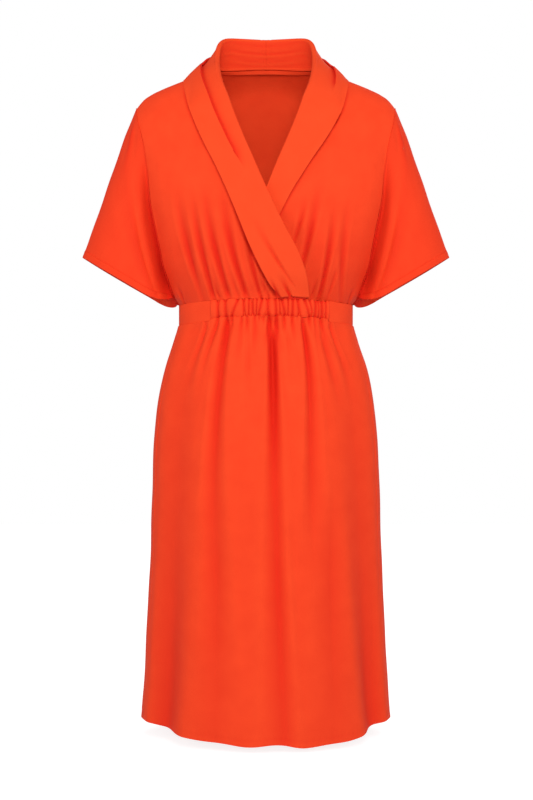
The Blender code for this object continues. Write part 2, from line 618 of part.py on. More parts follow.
def build():
    for old in list(bpy.data.objects):
        bpy.data.objects.remove(old, do_unlink=True)
    collection = bpy.data.collections.new(COLLECTION)
    bpy.context.scene.collection.children.link(collection)
    crepe = cloth_material("crepe", (0.93, 0.061, 0.018), 0.72)

    loft("front_right", front_panel(-1), CLOTH, crepe, collection)
    loft("front_left", front_panel(1), CLOTH, crepe, collection, turned=True)
    loft("back_bodice", back_panel(), CLOTH, crepe, collection)
    loft("sleeve_right", sleeve(-1), CLOTH, crepe, collection, closed=True)
    loft("sleeve_left", sleeve(1), CLOTH, crepe, collection, turned=True, closed=True)
    loft("collar_right", collar_half(-1), COLLAR_CLOTH, crepe, collection)
    loft("collar_left", collar_half(1), COLLAR_CLOTH, crepe, collection, turned=True)
    loft("waistband_front", waistband(1), CLOTH, crepe, collection, turned=True)
    loft("waistband_back", waistband(-1), CLOTH, crepe, collection, turned=True)
    loft("skirt_front", skirt(1), CLOTH, crepe, collection, turned=True)
    loft("skirt_back", skirt(-1), CLOTH, crepe, collection, turned=True)
    loft("neck_tape", neck_tape(), NECK_TAPE_CLOTH, crepe, collection)


build()
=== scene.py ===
import math

import bpy
import numpy as np
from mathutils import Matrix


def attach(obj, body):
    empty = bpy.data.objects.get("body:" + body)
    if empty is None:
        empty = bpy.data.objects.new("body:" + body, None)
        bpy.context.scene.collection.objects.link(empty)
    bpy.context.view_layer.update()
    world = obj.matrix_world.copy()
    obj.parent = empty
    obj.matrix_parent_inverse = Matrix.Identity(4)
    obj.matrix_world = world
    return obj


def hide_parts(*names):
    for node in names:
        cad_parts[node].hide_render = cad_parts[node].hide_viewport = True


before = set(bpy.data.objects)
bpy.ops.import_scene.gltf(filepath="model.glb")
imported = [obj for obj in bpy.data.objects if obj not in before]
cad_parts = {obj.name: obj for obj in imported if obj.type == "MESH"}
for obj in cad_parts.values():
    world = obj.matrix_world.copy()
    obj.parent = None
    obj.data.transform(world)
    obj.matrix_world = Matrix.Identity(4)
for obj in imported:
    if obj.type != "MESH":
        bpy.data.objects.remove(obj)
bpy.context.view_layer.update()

# ---- driving sizes, the form's as in the part ----
CREPE = 0.0005  # one layer of the crepe
COLLAR_CREPE = 0.0014  # two layers and the interlining of the collar
CORNER = 0.0003  # radius of the fold where an edge is turned under
TURNED_IN = 0.0012  # from the outer face to the face of the cloth turned under
LAID_IN = 0.0020  # and to an allowance that lies under its neighbour
SEAM = 0.00034  # from the edge of a piece to its seam line
SEAM_ALLOWANCE = 0.007  # width of cloth turned under along a seam
HEM_WIDTH = 0.011  # and along a hem
COLLAR_GAP = 0.00035  # from the collar's edge to its seam
COLLAR_CLOTH = 0.0018  # thickness of its solid
COLLAR_LIFT = 0.0036  # how far its fall stands off the form
COLLAR_SHOULDER_LIFT = 0.0014  # and how much more it does on the shoulder and behind the neck
COLLAR_ROLL_BACK, COLLAR_ROLL_FRONT = 0.0045, 0.00255  # radius of its roll
COLLAR_ROLL_REACH = 0.0045  # how far the roll stands past the seam where it lies flat
COLLAR_FLAT_FROM, COLLAR_FLAT_BLEND = 0.36, 0.08  # share of its length at which it comes to lie flat
NECK_SHARE = 0.25  # share of its length along the back neck
COLLAR_LENGTH = 0.52  # of a half of it, at the rate at which it runs behind the neck
CENTRE_OVERLAP = 0.0001  # how far its halves overlap at centre back
# Its seam at centre back: a groove, by its depth, its place beside the centre and its half width.
CENTRE_GROOVE, CENTRE_GROOVE_X, CENTRE_GROOVE_WIDTH = 0.0005, 0.0037, 0.0011
STAND_WRINKLE, STAND_SHADE = 0.00034, 0.45  # of its standing part behind the neck: the height of its wrinkles, and its painted shade
NECK_TAPE_WIDTH, NECK_TAPE_FOOT, NECK_TAPE_CLOTH, NECK_TAPE_CROWN = 0.0040, 0.0005, 0.0010, 0.00025
# How far the under panel sinks below the upper one, the width over which it does, and from what height.
WRAP_SINK, WRAP_BLEND, WRAP_TOP_Z, WRAP_TOP_BLEND = 0.0095, 0.065, -0.14, 0.05
LOW_SINK = 0.0045  # how much deeper it lies where it is hidden, clear of the creases over it
NECK_HALF_WIDTH, NECK_DEPTH, NECK_BACK_RISE = 0.083, 0.070, 0.0127
SHOULDER_TIP_X, SHOULDER_TIP_Z = 0.2145, -0.064
SHOULDER_ROUND = {"front_depth": 0.10, "back_depth": 0.06}  # height over which the shoulder rounds off
WAIST_HALF_WIDTH, WAIST_DEPTH = 0.142, 0.0955
BAND_TOP, BAND_HEIGHT = -0.3844, 0.0285
BAND_SIDE_DROP, BAND_SIDE_EXTRA = 0.0065, 0.0012
HEM_SIDE, HEM_FRONT_DROP, HEM_FRONT_SLANT, HEM_BACK_DROP = -1.0680, 0.0150, 0.0030, 0.0060
SIDE_SEAM = math.radians(74)
SLEEVE_TOP_X, SLEEVE_TOP_Z = 0.3011, -0.3117
SLEEVE_INNER_X, SLEEVE_INNER_Z = 0.1475, -0.4035
SLEEVE_HEM_DEPTH = 0.055
SLEEVE_FRONT_VALLEY, SLEEVE_BACK_VALLEY = 0.016, 0.010  # how far it sinks in along its middle
UNDERARM_CLEAR_X, UNDERARM_CLEAR_Z = 0.0001, 0.0015  # and stands off the bodice under the arm
ELASTIC_RIGHT_X, ELASTIC_LEFT_X = -0.0870, 0.1000  # where the front's elastic is stitched down
ELASTIC_BACK_X = 0.1180  # and the back's, on both sides
CASING = 0.0012  # how far the casing and the skirt stand proud of the bodice
FLAT_END_DROP, FLAT_END_LIFT = 0.0040, 0.0002  # how much deeper and prouder the casing's flat ends are
CASING_ALLOWANCE = 0.005  # width of cloth turned under along the casing's edges
ARMHOLE_PULL = 0.0100  # how far the armhole seam is drawn in on the front
ARMHOLE_ROUND = 0.022  # width over which the front rounds into it
SLEEVE_STEP, SLEEVE_STEP_WIDTH = 0.0055, 0.013  # how far the sleeve dives in beside the seam
TIP_ROUND = 0.0030  # how far the shoulder tip is rounded off
HEM_SIDE_LIFT = 0.0032  # how far the hem is held up beside the side seams
HEM_WAVE = 0.0026  # and how far it rises and falls along the front
PANEL_SWELL, SLEEVE_SWELL, SKIRT_SWELL = 0.0009, 0.0006, 0.0007  # height of the cloth's soft unevenness
# A fold this deep takes all of the painted shade, on the fronts, the back, the skirt and elsewhere.
FRONT_SHADE_DEPTH, BACK_SHADE_DEPTH, SKIRT_SHADE_DEPTH, CREASE_SHADE_DEPTH = 0.0062, 0.0075, 0.010, 0.006
STITCH_WIDTH, PUCKER_WIDTH = 0.0022, 0.010  # half widths of a hem's sunk stitches and their puckers
# How finely each piece is meshed: points or cells down it and across it.
PANEL_ROWS, PANEL_COLUMNS, NECK_COLUMNS, SHOULDER_COLUMNS = 130, 104, 35, 42
SLEEVE_ROWS, SLEEVE_HALF_COLUMNS = 70, 80
COLLAR_NECK_ROWS, COLLAR_FRONT_ROWS = 62, 156
COLLAR_STAND_COLUMNS, COLLAR_ROLL_COLUMNS, COLLAR_FALL_COLUMNS = 24, 13, 81
TAPE_COLUMNS = 48
BAND_ROWS, BAND_FRONT_COLUMNS, BAND_BACK_COLUMNS = 18, 300, 250
SKIRT_FRONT_ROWS, SKIRT_BACK_ROWS, SKIRT_FRONT_COLUMNS, SKIRT_BACK_COLUMNS = 150, 140, 200, 170
FLOOR_Z = -1.0950
FLOOR_HALF_SIZE = 4.0
WORLD_LIGHT = 0.43  # of the white surround, on the dress


def table(names, *rows):
    """The named columns of a short table, one row for each section or fold, with its key first.

    A column whose name ends in _mm is written in millimetres, and kept in metres without that ending.
    """
    columns = zip(names.split(), np.array(rows, dtype=float).T)
    return {name.removesuffix("_mm"): column / (1000 if name.endswith("_mm") else 1)
            for name, column in columns}


# Sections of the upper body from the neck down. The armhole columns are where the sleeve is sewn on.
BODICE = table(
    "z armhole_x armhole_depth front_depth back_depth",
    (0.04, 0.225, 0.055, 0.04, 0.088),
    (0, 0.22, 0.055, 0.048, 0.091),
    (-0.05, 0.216, 0.055, 0.074, 0.094),
    (-0.064, 0.2145, 0.055, 0.08, 0.095),
    (-0.094, 0.208, 0.058, 0.092, 0.098),
    (-0.126, 0.1985, 0.06, 0.101, 0.102),
    (-0.168, 0.1913, 0.063, 0.11, 0.105),
    (-0.225, 0.186, 0.065, 0.116, 0.104),
    (-0.265, 0.1782, 0.062, 0.117, 0.102),
    (-0.304, 0.1707, 0.055, 0.115, 0.1),
    (-0.3277, 0.1664, 0.047, 0.112, 0.099),
    (-0.3588, 0.1561, 0.032, 0.105, 0.098),
    (-0.382, 0.1474, 0.014, 0.0968, 0.0965),
    (-0.3905, WAIST_HALF_WIDTH, 0, WAIST_DEPTH, WAIST_DEPTH),
)
# The shoulder seam, seen from the front, carried on to the centre plane.
SHOULDER = table(
    "x z",
    (0, 0.0347), (0.03, 0.0295), (0.05, 0.0211), (0.07, 0.0092), (NECK_HALF_WIDTH, 0), (0.1335, -0.0197),
    (0.17, -0.0345), (0.191, -0.0436), (0.203, -0.051), (SHOULDER_TIP_X, SHOULDER_TIP_Z), (0.23, -0.088),
)
# The front panels' inner edges, where the collar is sewn on. Below z = -0.2 they cross the centre.
FRONT_EDGE = table(
    "z x",
    (0, NECK_HALF_WIDTH), (-0.022, 0.081), (-0.045, 0.073), (-0.0666, 0.064), (-0.1043, 0.0494),
    (-0.1345, 0.0373), (-0.1677, 0.023), (-0.1999, 0.0096), (-0.2319, -0.0053), (-0.262, -0.0194),
    (-0.3166, -0.0484), (-0.3505, -0.06), (BAND_TOP, -0.0642),
)
# The collar from centre back (0) to the front waist (1): its roll, where it turns over, its free
# edge, and the share of its full width that the side under the wrap has.
COLLAR = table(
    "t roll_x_mm roll_y_mm roll_z_mm edge_x_mm edge_y_mm edge_z_mm under_width",
    (0, 0, 78, 67, 0, 102, -14, 1),
    (0.07, 50, 69, 67.2, 70, 93, -24, 1),
    (0.11, 70.2, 56.5, 64.5, 102, 74, -29, 1),
    (0.14, 76.8, 44, 57.2, 118, 58, -30, 1),
    (0.2, 80.6, 18, 36, 133, 25, -26, 1),
    (0.25, 80.2, -5, 15, 135, -2, -18.5, 1),
    (0.29, 77.6, -29, -4, 132, -35, -40, 1),
    (0.33, 70.6, -53, -31, 127, -62, -63, 1),
    (0.38, 59, -81, -60, 120.7, -78, -84, 1),
    (0.46, 44.7, -98, -104.3, 100.7, -90, -131.2, 0.92),
    (0.56, 21.8, -111, -159, 75.5, -100, -181, 0.8),
    (0.68, -5, -118, -220.4, 47.5, -111, -245.1, 0.66),
    (0.8, -33.6, -119, -281.9, 21.8, -115, -308.3, 0.62),
    (0.9, -60, -113, -333, -2.3, -108, -355.3, 0.62),
    (1, -69.3, -99, -383, -23.9, -100, -383.5, 0.62),
)
# How far the sleeve's hem runs above its straight line, by the share of the way round it.
SLEEVE_HEM_RISE = table(
    "turn rise_mm",
    (0, 0), (0.27, 0), (0.33, 1), (0.4, 12.5), (0.44, 21), (0.5, 18), (0.56, 8.5), (0.62, 2), (0.7, 1),
    (0.8, 0), (1, 0),
)
# The skirt's rings from the waistband down.
SKIRT = table(
    "z half_width front_depth back_depth",
    (-0.4, WAIST_HALF_WIDTH, WAIST_DEPTH, WAIST_DEPTH), (-0.418, 0.1425, 0.0965, 0.0965),
    (-0.45, 0.151, 0.107, 0.107), (-0.49, 0.1643, 0.117, 0.12), (-0.54, 0.175, 0.125, 0.131),
    (-0.6, 0.182, 0.1305, 0.138), (-0.7, 0.1862, 0.134, 0.14), (-0.8, 0.1893, 0.137, 0.141),
    (-0.92, 0.1952, 0.142, 0.145), (-1.02, 0.2002, 0.146, 0.148), (-1.09, 0.2062, 0.149, 0.15),
)

# ---- folds and gathers ----
# A crease runs through three places: where it starts, its middle and where it fades out. at is its
# place across the piece and z its height. near and far are its half widths on the sides of smaller and
# larger at, crisp is how flat its bottom and how steep its walls are, and start is the share of its
# depth that it already has at its start.
CREASE = "at0_mm z0_mm at1_mm z1_mm at2_mm z2_mm depth_mm near_mm far_mm crisp start"
TURNED_CREASE = "at0 z0_mm at1 z1_mm at2 z2_mm depth_mm near far crisp start"
UPPER_FRONT_CREASES = table(
    CREASE,
    (103, -380, 122.5, -318, 142, -185, 5.5, 7.3, 4.9, 1.6, 0.25),
    (83.5, -385, 102, -313.4, 122.5, -190, 6.4, 5.2, 4.4, 1.6, 0.95),
    (73.5, -385, 79, -370, 85, -348, 3.4, 1.7, 2.1, 1.5, 0.9),
    (58.5, -385, 80, -312.3, 101, -180, 6.8, 5.8, 5.2, 1.6, 0.85),
    (43, -385, 50, -364, 56, -340, 2.5, 1.9, 2.1, 1.5, 0.9),
    (30, -385, 54.5, -306.7, 68, -185, 7.2, 6.2, 5.2, 1.6, 0.85),
    (7.5, -385, 19, -345, 29, -260, 6.6, 3.9, 3.8, 1.6, 1),
    (-6, -385, 3, -365, 9, -345, 4, 1.9, 1.9, 1.5, 0.9),
    (-18, -385, 27, -301, 64, -175, 5.5, 5.6, 3.6, 1.5, 1),
    (132.5, -389, 137.5, -376, 144, -358, 4, 2.2, 2.2, 1.5, 0.6),
)
UNDER_FRONT_CREASES = table(
    CREASE,
    (43, -299, 54, -268, 64, -212, 4.9, 4.3, 3.7, 1.6, 0.6),
    (58.5, -330, 70, -285, 86, -190, 6.1, 6.5, 4.9, 1.6, 0.75),
    (71.8, -385, 75.5, -372, 80, -350, 4.3, 1.9, 2.2, 1.5, 0.9),
    (84.5, -385, 96, -335, 110, -220, 7.2, 4.3, 4.3, 1.6, 0.85),
    (97.5, -385, 108, -355, 117, -325, 3.6, 2.1, 2.1, 1.5, 0.7),
    (122, -380, 123, -320, 134.5, -205, 4.3, 5.6, 4.3, 1.6, 0.45),
    (134, -389, 139, -376, 144, -360, 3.4, 2.2, 2.2, 1.5, 0.6),
    (107.5, -112, 113, -96, 120, -70, 4.6, 3.7, 3.7, 1.5, 0.2),
)
BACK_CREASES = table(
    CREASE,
    (-104, -386, -118, -320, -133, -208, 6, 7.3, 4.9, 1.6, 0.55),
    (-83, -385, -88, -365, -93, -340, 3.6, 2.1, 2.5, 1.5, 0.9),
    (-69, -385, -79, -300, -88, -178, 7.6, 5.6, 4.6, 1.6, 0.85),
    (-44, -385, -47, -365, -50, -340, 3.4, 2.1, 2.1, 1.5, 0.9),
    (-26, -385, -29, -325, -33, -218, 6.8, 4.9, 4.4, 1.6, 0.85),
    (-7, -385, -6, -365, -5, -345, 3.1, 2.1, 2.1, 1.5, 0.9),
    (14, -385, 16, -315, 19, -198, 7.6, 5.3, 4.9, 1.6, 0.85),
    (33, -385, 35, -368, 37, -345, 3.4, 2.1, 2.1, 1.5, 0.9),
    (56, -385, 62, -330, 70, -233, 6.5, 4.9, 4.3, 1.6, 0.85),
    (80, -385, 84, -368, 88, -345, 3.4, 2.1, 2.5, 1.5, 0.9),
    (94.5, -386, 108, -310, 123, -193, 7.5, 5.6, 5.7, 1.6, 0.75),
)
# The collar's creases, on the half that lies on top.
COLLAR_CREASES = table(
    CREASE,
    (-38, -357, -8.5, -311, 24, -248, 3.6, 3.4, 4, 1.6, 0.5),
    (-43, -389, -33, -370, -22, -346, 5.6, 2.8, 3.8, 1.6, 0.9),
    (-24, -388, -14, -370, -4, -348, 4.4, 2.8, 3.2, 1.5, 0.9),
)
# The sleeves' creases, by x and z.
SLEEVE_FRONT_CREASES = table(
    CREASE,
    (212, -85, 219, -130, 233, -200, 2.6, 4, 4, 1.6, 0.2),
    (174, -385, 200, -300, 213, -120, -2.2, 6, 4, 1.5, 0.3),
    (184, -380, 208, -300, 219, -150, 1.4, 5, 10, 1.5, 0.3),
)
SLEEVE_BACK_CREASES = table(
    CREASE,
    (212, -85, 221, -140, 236, -220, 2.2, 5, 5, 1.6, 0.2),
    (182, -385, 205, -300, 215, -180, -2.6, 6, 5, 1.6, 0.3),
)
# The skirt's creases, with their places and widths as angles from its centre, in degrees.
SKIRT_FRONT_CREASES = table(
    TURNED_CREASE,
    (3.9, -413, 4, -530, 5.2, -800, 12, 2.8, 2.7, 2.4, 0.95),
    (4.2, -560, 6, -830, 15.5, -1500, 7.6, 5.6, 3.4, 1.6, 0),
    (-24.6, -413, -25.6, -530, -27.4, -900, 8.2, 3.6, 3.6, 1.5, 0.9),
    (26, -413, 23.6, -540, 25.4, -900, 7.6, 2.6, 4, 1.5, 0.9),
    (-41, -413, -44, -460, -49, -550, 3.4, 2.6, 2.6, 1.8, 0.6),
    (36, -413, 38.5, -480, 42, -590, 4.6, 2.6, 3, 1.8, 0.8),
    (45, -413, 49, -470, 54, -560, 2.8, 2.2, 2.4, 1.8, 0.6),
    (-33, -413, -36, -470, -38, -560, 3.2, 2.2, 2.2, 1.8, 0.6),
    (-25.3, -640, -24, -860, -22.5, -1290, 4.2, 6, 6, 1.6, 0),
    (-12, -413, -10.5, -470, -9.2, -600, 2.6, 1.8, 1.8, 1.8, 0.6),
    (14.5, -413, 14, -460, 13.5, -540, 2.6, 1.8, 1.8, 1.8, 0.6),
    (34, -640, 33, -860, 31, -1290, 3.8, 7, 7, 1.6, 0),
)
SKIRT_BACK_CREASES = table(
    TURNED_CREASE,
    (-52, -420, -55, -700, -60, -1240, 6.8, 5.8, 5.8, 1.7, 0.2),
    (-40, -413, -42, -480, -45, -580, 4, 2.6, 2.6, 1.9, 0.8),
    (-30, -413, -31, -590, -33, -900, 8.4, 3.2, 2.7, 1.9, 0.8),
    (-17, -413, -17.5, -470, -18, -580, 3.2, 1.9, 1.9, 1.8, 0.7),
    (-6, -413, -8, -750, -14, -1240, 9.2, 2.9, 3.3, 1.9, 0.8),
    (10, -413, 10.5, -480, 11, -600, 3.6, 1.9, 1.9, 1.8, 0.7),
    (21, -413, 22, -620, 24, -1000, 8, 2.9, 3.2, 1.9, 0.8),
    (34, -413, 36, -480, 38, -580, 3.8, 2.3, 2.3, 1.9, 0.7),
    (46, -420, 50, -730, 56, -1240, 6.8, 5.8, 5.8, 1.7, 0.2),
)
# The side folds, which open towards the hem: their angles, depths at three heights, and half width.
SIDE_FOLDS = table(
    "top_angle hem_angle top_depth_mm middle_depth_mm hem_depth_mm width",
    (-50, -56, 4, 7, 17.5, 17),
    (50, 62.5, 4, 6.5, 17.5, 16),
)
# Where the elastic gathers the waist: each crease of the casing at its top and low edges, and how
# strong it is. The same creases run on into the cloth above and below it.
FRONT_RUCHES = table(
    "top_x_mm low_x_mm strength",
    (-75.5, -75, 0.9), (-64, -62.5, 1), (-44, -53.5, 0.8), (-35, -33.5, 0.8), (-26.2, -27, 0.5),
    (-21.5, -20, 0.9), (-14, -15, 0.5), (-6, -11.5, 0.8), (3, 3.5, 1.1), (15, 16.5, 0.9), (21, 22.5, 0.5),
    (25, 30, 1.1), (35, 34.5, 0.5), (42.5, 41.5, 0.9), (50, 52.5, 0.9), (61, 69, 0.8), (69, 73.5, 0.5),
    (78.5, 77.5, 0.9), (82.5, 83, 0.5), (88, 88.5, 1.1), (94.5, 94, 0.5),
)
BACK_RUCHES = table(
    "top_x_mm low_x_mm strength",
    (-108, -107, 0.9), (-95, -93.5, 0.8), (-83, -82, 1), (-69, -71, 0.9), (-58, -56, 0.8), (-44, -45, 1),
    (-32, -30, 0.9), (-21.5, -23, 0.8), (-6, -5, 1), (7, 9, 0.9), (18, 18.5, 1), (33, 31, 0.9),
    (43, 45, 0.8), (56, 55.5, 1), (70, 72.5, 0.9), (80, 80.5, 1), (95, 93, 0.9), (107, 107.5, 0.8),
)
# Gathers of the skirt below the casing: where they start, how far down they reach, and their depth.
FRONT_GATHERS = table(
    "x_mm reach_mm depth_mm lean",
    (-95.5, 30, 1, -0.1), (-75.9, 55, 2, -0.12), (-61.6, 85, 3, -0.08), (-53.7, 45, 2, -0.04),
    (-37.9, 60, 2.4, -0.04), (-29.9, 40, 2, 0), (-17.3, 70, 2.6, 0), (-10.9, 40, 2, 0), (-3, 50, 2.2, 0),
    (4.1, 90, 6, 0), (16.8, 110, 5.6, -0.01), (28.7, 45, 2.6, 0), (41.3, 60, 2.4, 0.03),
    (57.2, 90, 3.4, 0.04), (69, 50, 2.2, 0.06), (76.5, 65, 2.4, 0.08), (88, 50, 2.6, 0.1),
    (103.1, 30, 1, 0.1),
)
BACK_GATHERS = table(
    "x_mm reach_mm depth_mm lean",
    (-107.5, 45, 1.6, -0.1), (-94, 70, 2.6, -0.1), (-82, 50, 2.2, -0.06), (-70, 90, 3.2, -0.06),
    (-57, 45, 2.2, -0.04), (-44, 70, 2.8, -0.02), (-31, 50, 2.2, 0), (-16, 85, 3, 0), (-5, 45, 2.2, 0),
    (10, 70, 2.6, 0), (22, 50, 2.2, 0), (34, 95, 3.2, 0.02), (45, 45, 2.2, 0.04), (57, 65, 2.6, 0.04),
    (70, 50, 2.2, 0.06), (81, 85, 3, 0.08), (94, 50, 2.2, 0.1), (107, 35, 1.4, 0.1),
)
ELASTIC_BLEND = 0.003  # width over which the ruched part of the casing goes flat
CASING_HOLD, CASING_HOLD_REACH = 0.0012, 0.012  # how far a fold may sink where the casing holds it
PULL_REACH = 0.006  # how far up a scallop draws the cloth above it down
PUCKER, PUCKER_REACH = 0.0022, 0.011  # height and reach of the puckers above and below the casing
RUCHE_PUFF = 0.0042  # how far the casing puffs out between two creases
RUCHE_WIDTH = 0.0025  # how quickly it does so
SCALLOP = 0.0018  # how far a crease pulls the casing's edges in
GATHER_WIDTH = 0.0019
CASING_DIP = 0.0036  # how far a crease draws the casing's edges in


# ---- curves ----
def smooth(rows, column, at):
    """A table's column at any key, on cubics through its rows with slopes from their neighbours."""
    key = next(iter(rows.values()))
    order = np.argsort(key)
    x, y = key[order], rows[column][order]
    slope = np.gradient(y, x)
    at = np.clip(np.asarray(at, dtype=float), x[0], x[-1])
    low = np.clip(np.searchsorted(x, at, side="right") - 1, 0, len(x) - 2)
    width = x[low + 1] - x[low]
    s = (at - x[low]) / width
    start = (2 * s**3 - 3 * s**2 + 1) * y[low] + (s**3 - 2 * s**2 + s) * width * slope[low]
    end = (3 * s**2 - 2 * s**3) * y[low + 1] + (s**3 - s**2) * width * slope[low + 1]
    return start + end


def step(value):
    """0 below 0, 1 above 1, and a smooth rise between."""
    value = np.clip(value, 0.0, 1.0)
    return value * value * (3 - 2 * value)


def bump(distance, width):
    """1 on a line, falling smoothly to 0 at its width on both sides."""
    return step(1 - np.abs(distance) / width)


def mix(a, b, share):
    """The point or number that lies a share of the way from a to b."""
    return a + (b - a) * share


def grid(x, y, z):
    """Points from their x, y and z, any of which may be the same all along a row or a column."""
    return np.stack(np.broadcast_arrays(x, y, z), axis=-1)


def unit(vectors):
    """Vectors of length 1 in the same directions."""
    return vectors / np.maximum(np.linalg.norm(vectors, axis=-1, keepdims=True), 1e-9)


def swell(a, b, wave, turn):
    """An uneven swell between -1 and 1: the mean of three crossed sine waves of unlike length."""
    k = 2 * math.pi / wave
    return (np.sin(k * (a + 0.31 * b) + turn) + np.sin(0.73 * k * (b - 0.42 * a) + 1.7 * turn + 1.3)
            + np.sin(1.37 * k * (0.6 * a + 0.8 * b) + 2.3 * turn + 0.6)) / 3


def shares(count, length, start=True, end=True):
    """Places from 0 to 1: even ones, and close ones beside an edge that is turned under."""
    close = np.array([0.0005, 0.0011, 0.0020, 0.0032]) / length
    places = [np.linspace(0, 1, count + 1)]
    if start:
        places.append(close)
    if end:
        places.append(1 - close)
    return np.unique(np.concatenate(places).round(7))


def creases(rows, at, z):
    """Depth of a table of creases at each place.

    Along each crease its line is the parabola through its three places, its depth rises from its start
    and fades out at its end, and it grows from narrow to twice as wide on the way. Across it the
    trough falls off as exp(-(distance / width)^crisp), and a low ridge stands on both sides of it.
    """
    total = np.zeros(np.broadcast(at, z).shape)
    for at0, z0, at1, z1, at2, z2, depth, near, far, crisp, start in zip(*rows.values()):
        s = (z - z0) / (z2 - z0)
        m = (z1 - z0) / (z2 - z0)
        kept = np.clip(s, -0.1, 1.1)
        line = (at0 * (kept - m) * (kept - 1) / m + at1 * kept * (kept - 1) / (m * (m - 1))
                + at2 * kept * (kept - m) / (1 - m))
        along = mix(start, 1.0, step(s / 0.3)) * step((s + 0.15) / 0.15) * step((1 - s) / 0.8)
        width = np.where(at < line, near, far) * mix(0.6, 1.3, step(s))
        away = np.abs(at - line) / width
        ridge = np.exp(-((away - 2.0) / 0.7)**2)
        total = total + depth * along * (np.exp(-away**crisp) - 0.22 * ridge)
    return total


def side_folds(degrees, share):
    """Depth of the skirt's side folds at an angle and a share of the way down, each one a smooth bump."""
    total = np.zeros(np.broadcast(degrees, share).shape)
    for top, hem, top_depth, middle_depth, hem_depth, width in zip(*SIDE_FOLDS.values()):
        depth = mix(top_depth, middle_depth, step(share / 0.45))
        depth = mix(depth, hem_depth, step((share - 0.45) / 0.55)) * step(share / 0.03 + 0.3)
        total = total + depth * bump(degrees - mix(top, hem, share**1.5), width)
    return total


def nearest_ruche(ruches, x, share):
    """Distance to the nearest crease of the casing, each one made to count by its strength."""
    line = mix(ruches["top_x"], ruches["low_x"], np.asarray(share)[..., None])
    return np.min(np.abs(np.asarray(x)[..., None] - line) / ruches["strength"], axis=-1)


def elastic(x, front):
    """1 over the elastic and 0 over the flat ends of the casing."""
    low, high = (ELASTIC_RIGHT_X, ELASTIC_LEFT_X) if front else (-ELASTIC_BACK_X, ELASTIC_BACK_X)
    return step((x - low) / ELASTIC_BLEND + 0.5) * step((high - x) / ELASTIC_BLEND + 0.5)


def puff(x, share, front):
    """How far the casing puffs out, from 0 on a crease towards 1: 1 - exp(-distance / width)."""
    ruches = FRONT_RUCHES if front else BACK_RUCHES
    return (1 - np.exp(-nearest_ruche(ruches, x, share) / RUCHE_WIDTH)) * elastic(x, front)


def scallop(x, share, front):
    """How far the casing's top (share 0) or low edge (1) is pulled in towards its middle."""
    return SCALLOP * (1 - puff(x, share, front) / 0.8) * elastic(x, front)


def edge_dip(x, share, front):
    """How far a crease draws the casing's top (share 0) or low edge (1) in towards the waist."""
    return CASING_DIP * (1 - puff(x, share, front)) * elastic(x, front)


def held(sink, dip, away):
    """Depths held to little more than the casing's own dip where the cloth is sewn to it."""
    return mix(np.minimum(sink, CASING_HOLD + dip), sink, step(away / CASING_HOLD_REACH))


def low_edge(x, front):
    """How far the casing's low edge stands above its plain line: scalloped, and deeper at its flat ends."""
    return scallop(x, 1.0, front) - FLAT_END_DROP * (1 - elastic(x, front))


# ---- the outer form of the upper body ----
def shoulder_height(x):
    """Height of the shoulder seam's line at x."""
    return smooth(SHOULDER, "z", np.abs(x))


def full_depth(x, z, column):
    """Depth at x and z before the shoulder rounds it: an ellipse from the centre to the armhole."""
    centre = smooth(BODICE, column, z)
    seam = smooth(BODICE, "armhole_depth", z)
    across = np.clip(np.abs(x) / smooth(BODICE, "armhole_x", z), 0.0, 1.0)
    return np.sqrt(np.maximum(centre**2 - (centre**2 - seam**2) * across**2, 0.0))


def rounding(x, z, height):
    """0 on the shoulder line and 1 from that height below it, along a quarter of an ellipse."""
    below = np.clip((shoulder_height(x) - z) / height, 0.0, 1.0)
    return np.sqrt(1 - (1 - below)**2)


def form_depth(x, z, column):
    """Depth of the form's front or back at x and z: that ellipse times the shoulder's rounding."""
    return full_depth(x, z, column) * rounding(x, z, SHOULDER_ROUND[column])


def wrap_sink(x, z):
    """How far the under panel lies inside the form. x grows towards that panel's own side."""
    upper_edge = -smooth(FRONT_EDGE, "x", z)
    covered = step((upper_edge + WRAP_BLEND - x) / WRAP_BLEND)
    sink = WRAP_SINK + LOW_SINK * step((-0.23 - z) / 0.06)
    return sink * covered * step((WRAP_TOP_Z - z) / WRAP_TOP_BLEND)


def waist_height(x):
    """Height of the waistband's top edge."""
    return BAND_TOP - BAND_SIDE_DROP * (np.abs(x) / WAIST_HALF_WIDTH)**2


def outside_form(points, under):
    """About how far each point lies outside the form, and the way out. Under is the wrapped side."""
    def reach(p):
        x, y, z = p[..., 0], p[..., 1], p[..., 2]
        front = y < 0
        height = np.where(front, SHOULDER_ROUND["front_depth"], SHOULDER_ROUND["back_depth"])
        sink = wrap_sink(x, z) if under else 0.0
        depth = np.where(front, full_depth(x, z, "front_depth") - sink, full_depth(x, z, "back_depth"))
        rise = np.maximum(z - (shoulder_height(x) - height), 0.0) / height
        return np.sqrt((y / depth)**2 + rise**2) - 1

    probe = 0.001
    here = reach(points)
    slope = np.stack([(reach(points + probe * axis) - reach(points - probe * axis)) / (2 * probe)
                      for axis in np.eye(3)], axis=-1)
    steepness = np.maximum(np.linalg.norm(slope, axis=-1), 1e-6)
    return here / steepness, slope / steepness[..., None]


def lay_on_form(points, lift, under, laid):
    """The points at least lift outside the form, and at lift exactly where laid is 1."""
    for _ in range(4):
        gap, way_out = outside_form(points, under)
        move = np.where(gap < lift, lift - gap, laid * (lift - gap))
        points = points + way_out * move[..., None]
    return points


# ---- grids: their normals, their turned edges and their meshes ----
def outward(points, turned, closed=False):
    """A grid's unit normals: the way along its columns crossed with the way down its rows."""
    if closed:
        across = np.roll(points, -1, axis=1) - np.roll(points, 1, axis=1)
    else:
        across = np.gradient(points, axis=1)
    normal = unit(np.cross(across, np.gradient(points, axis=0)))
    return -normal if turned else normal


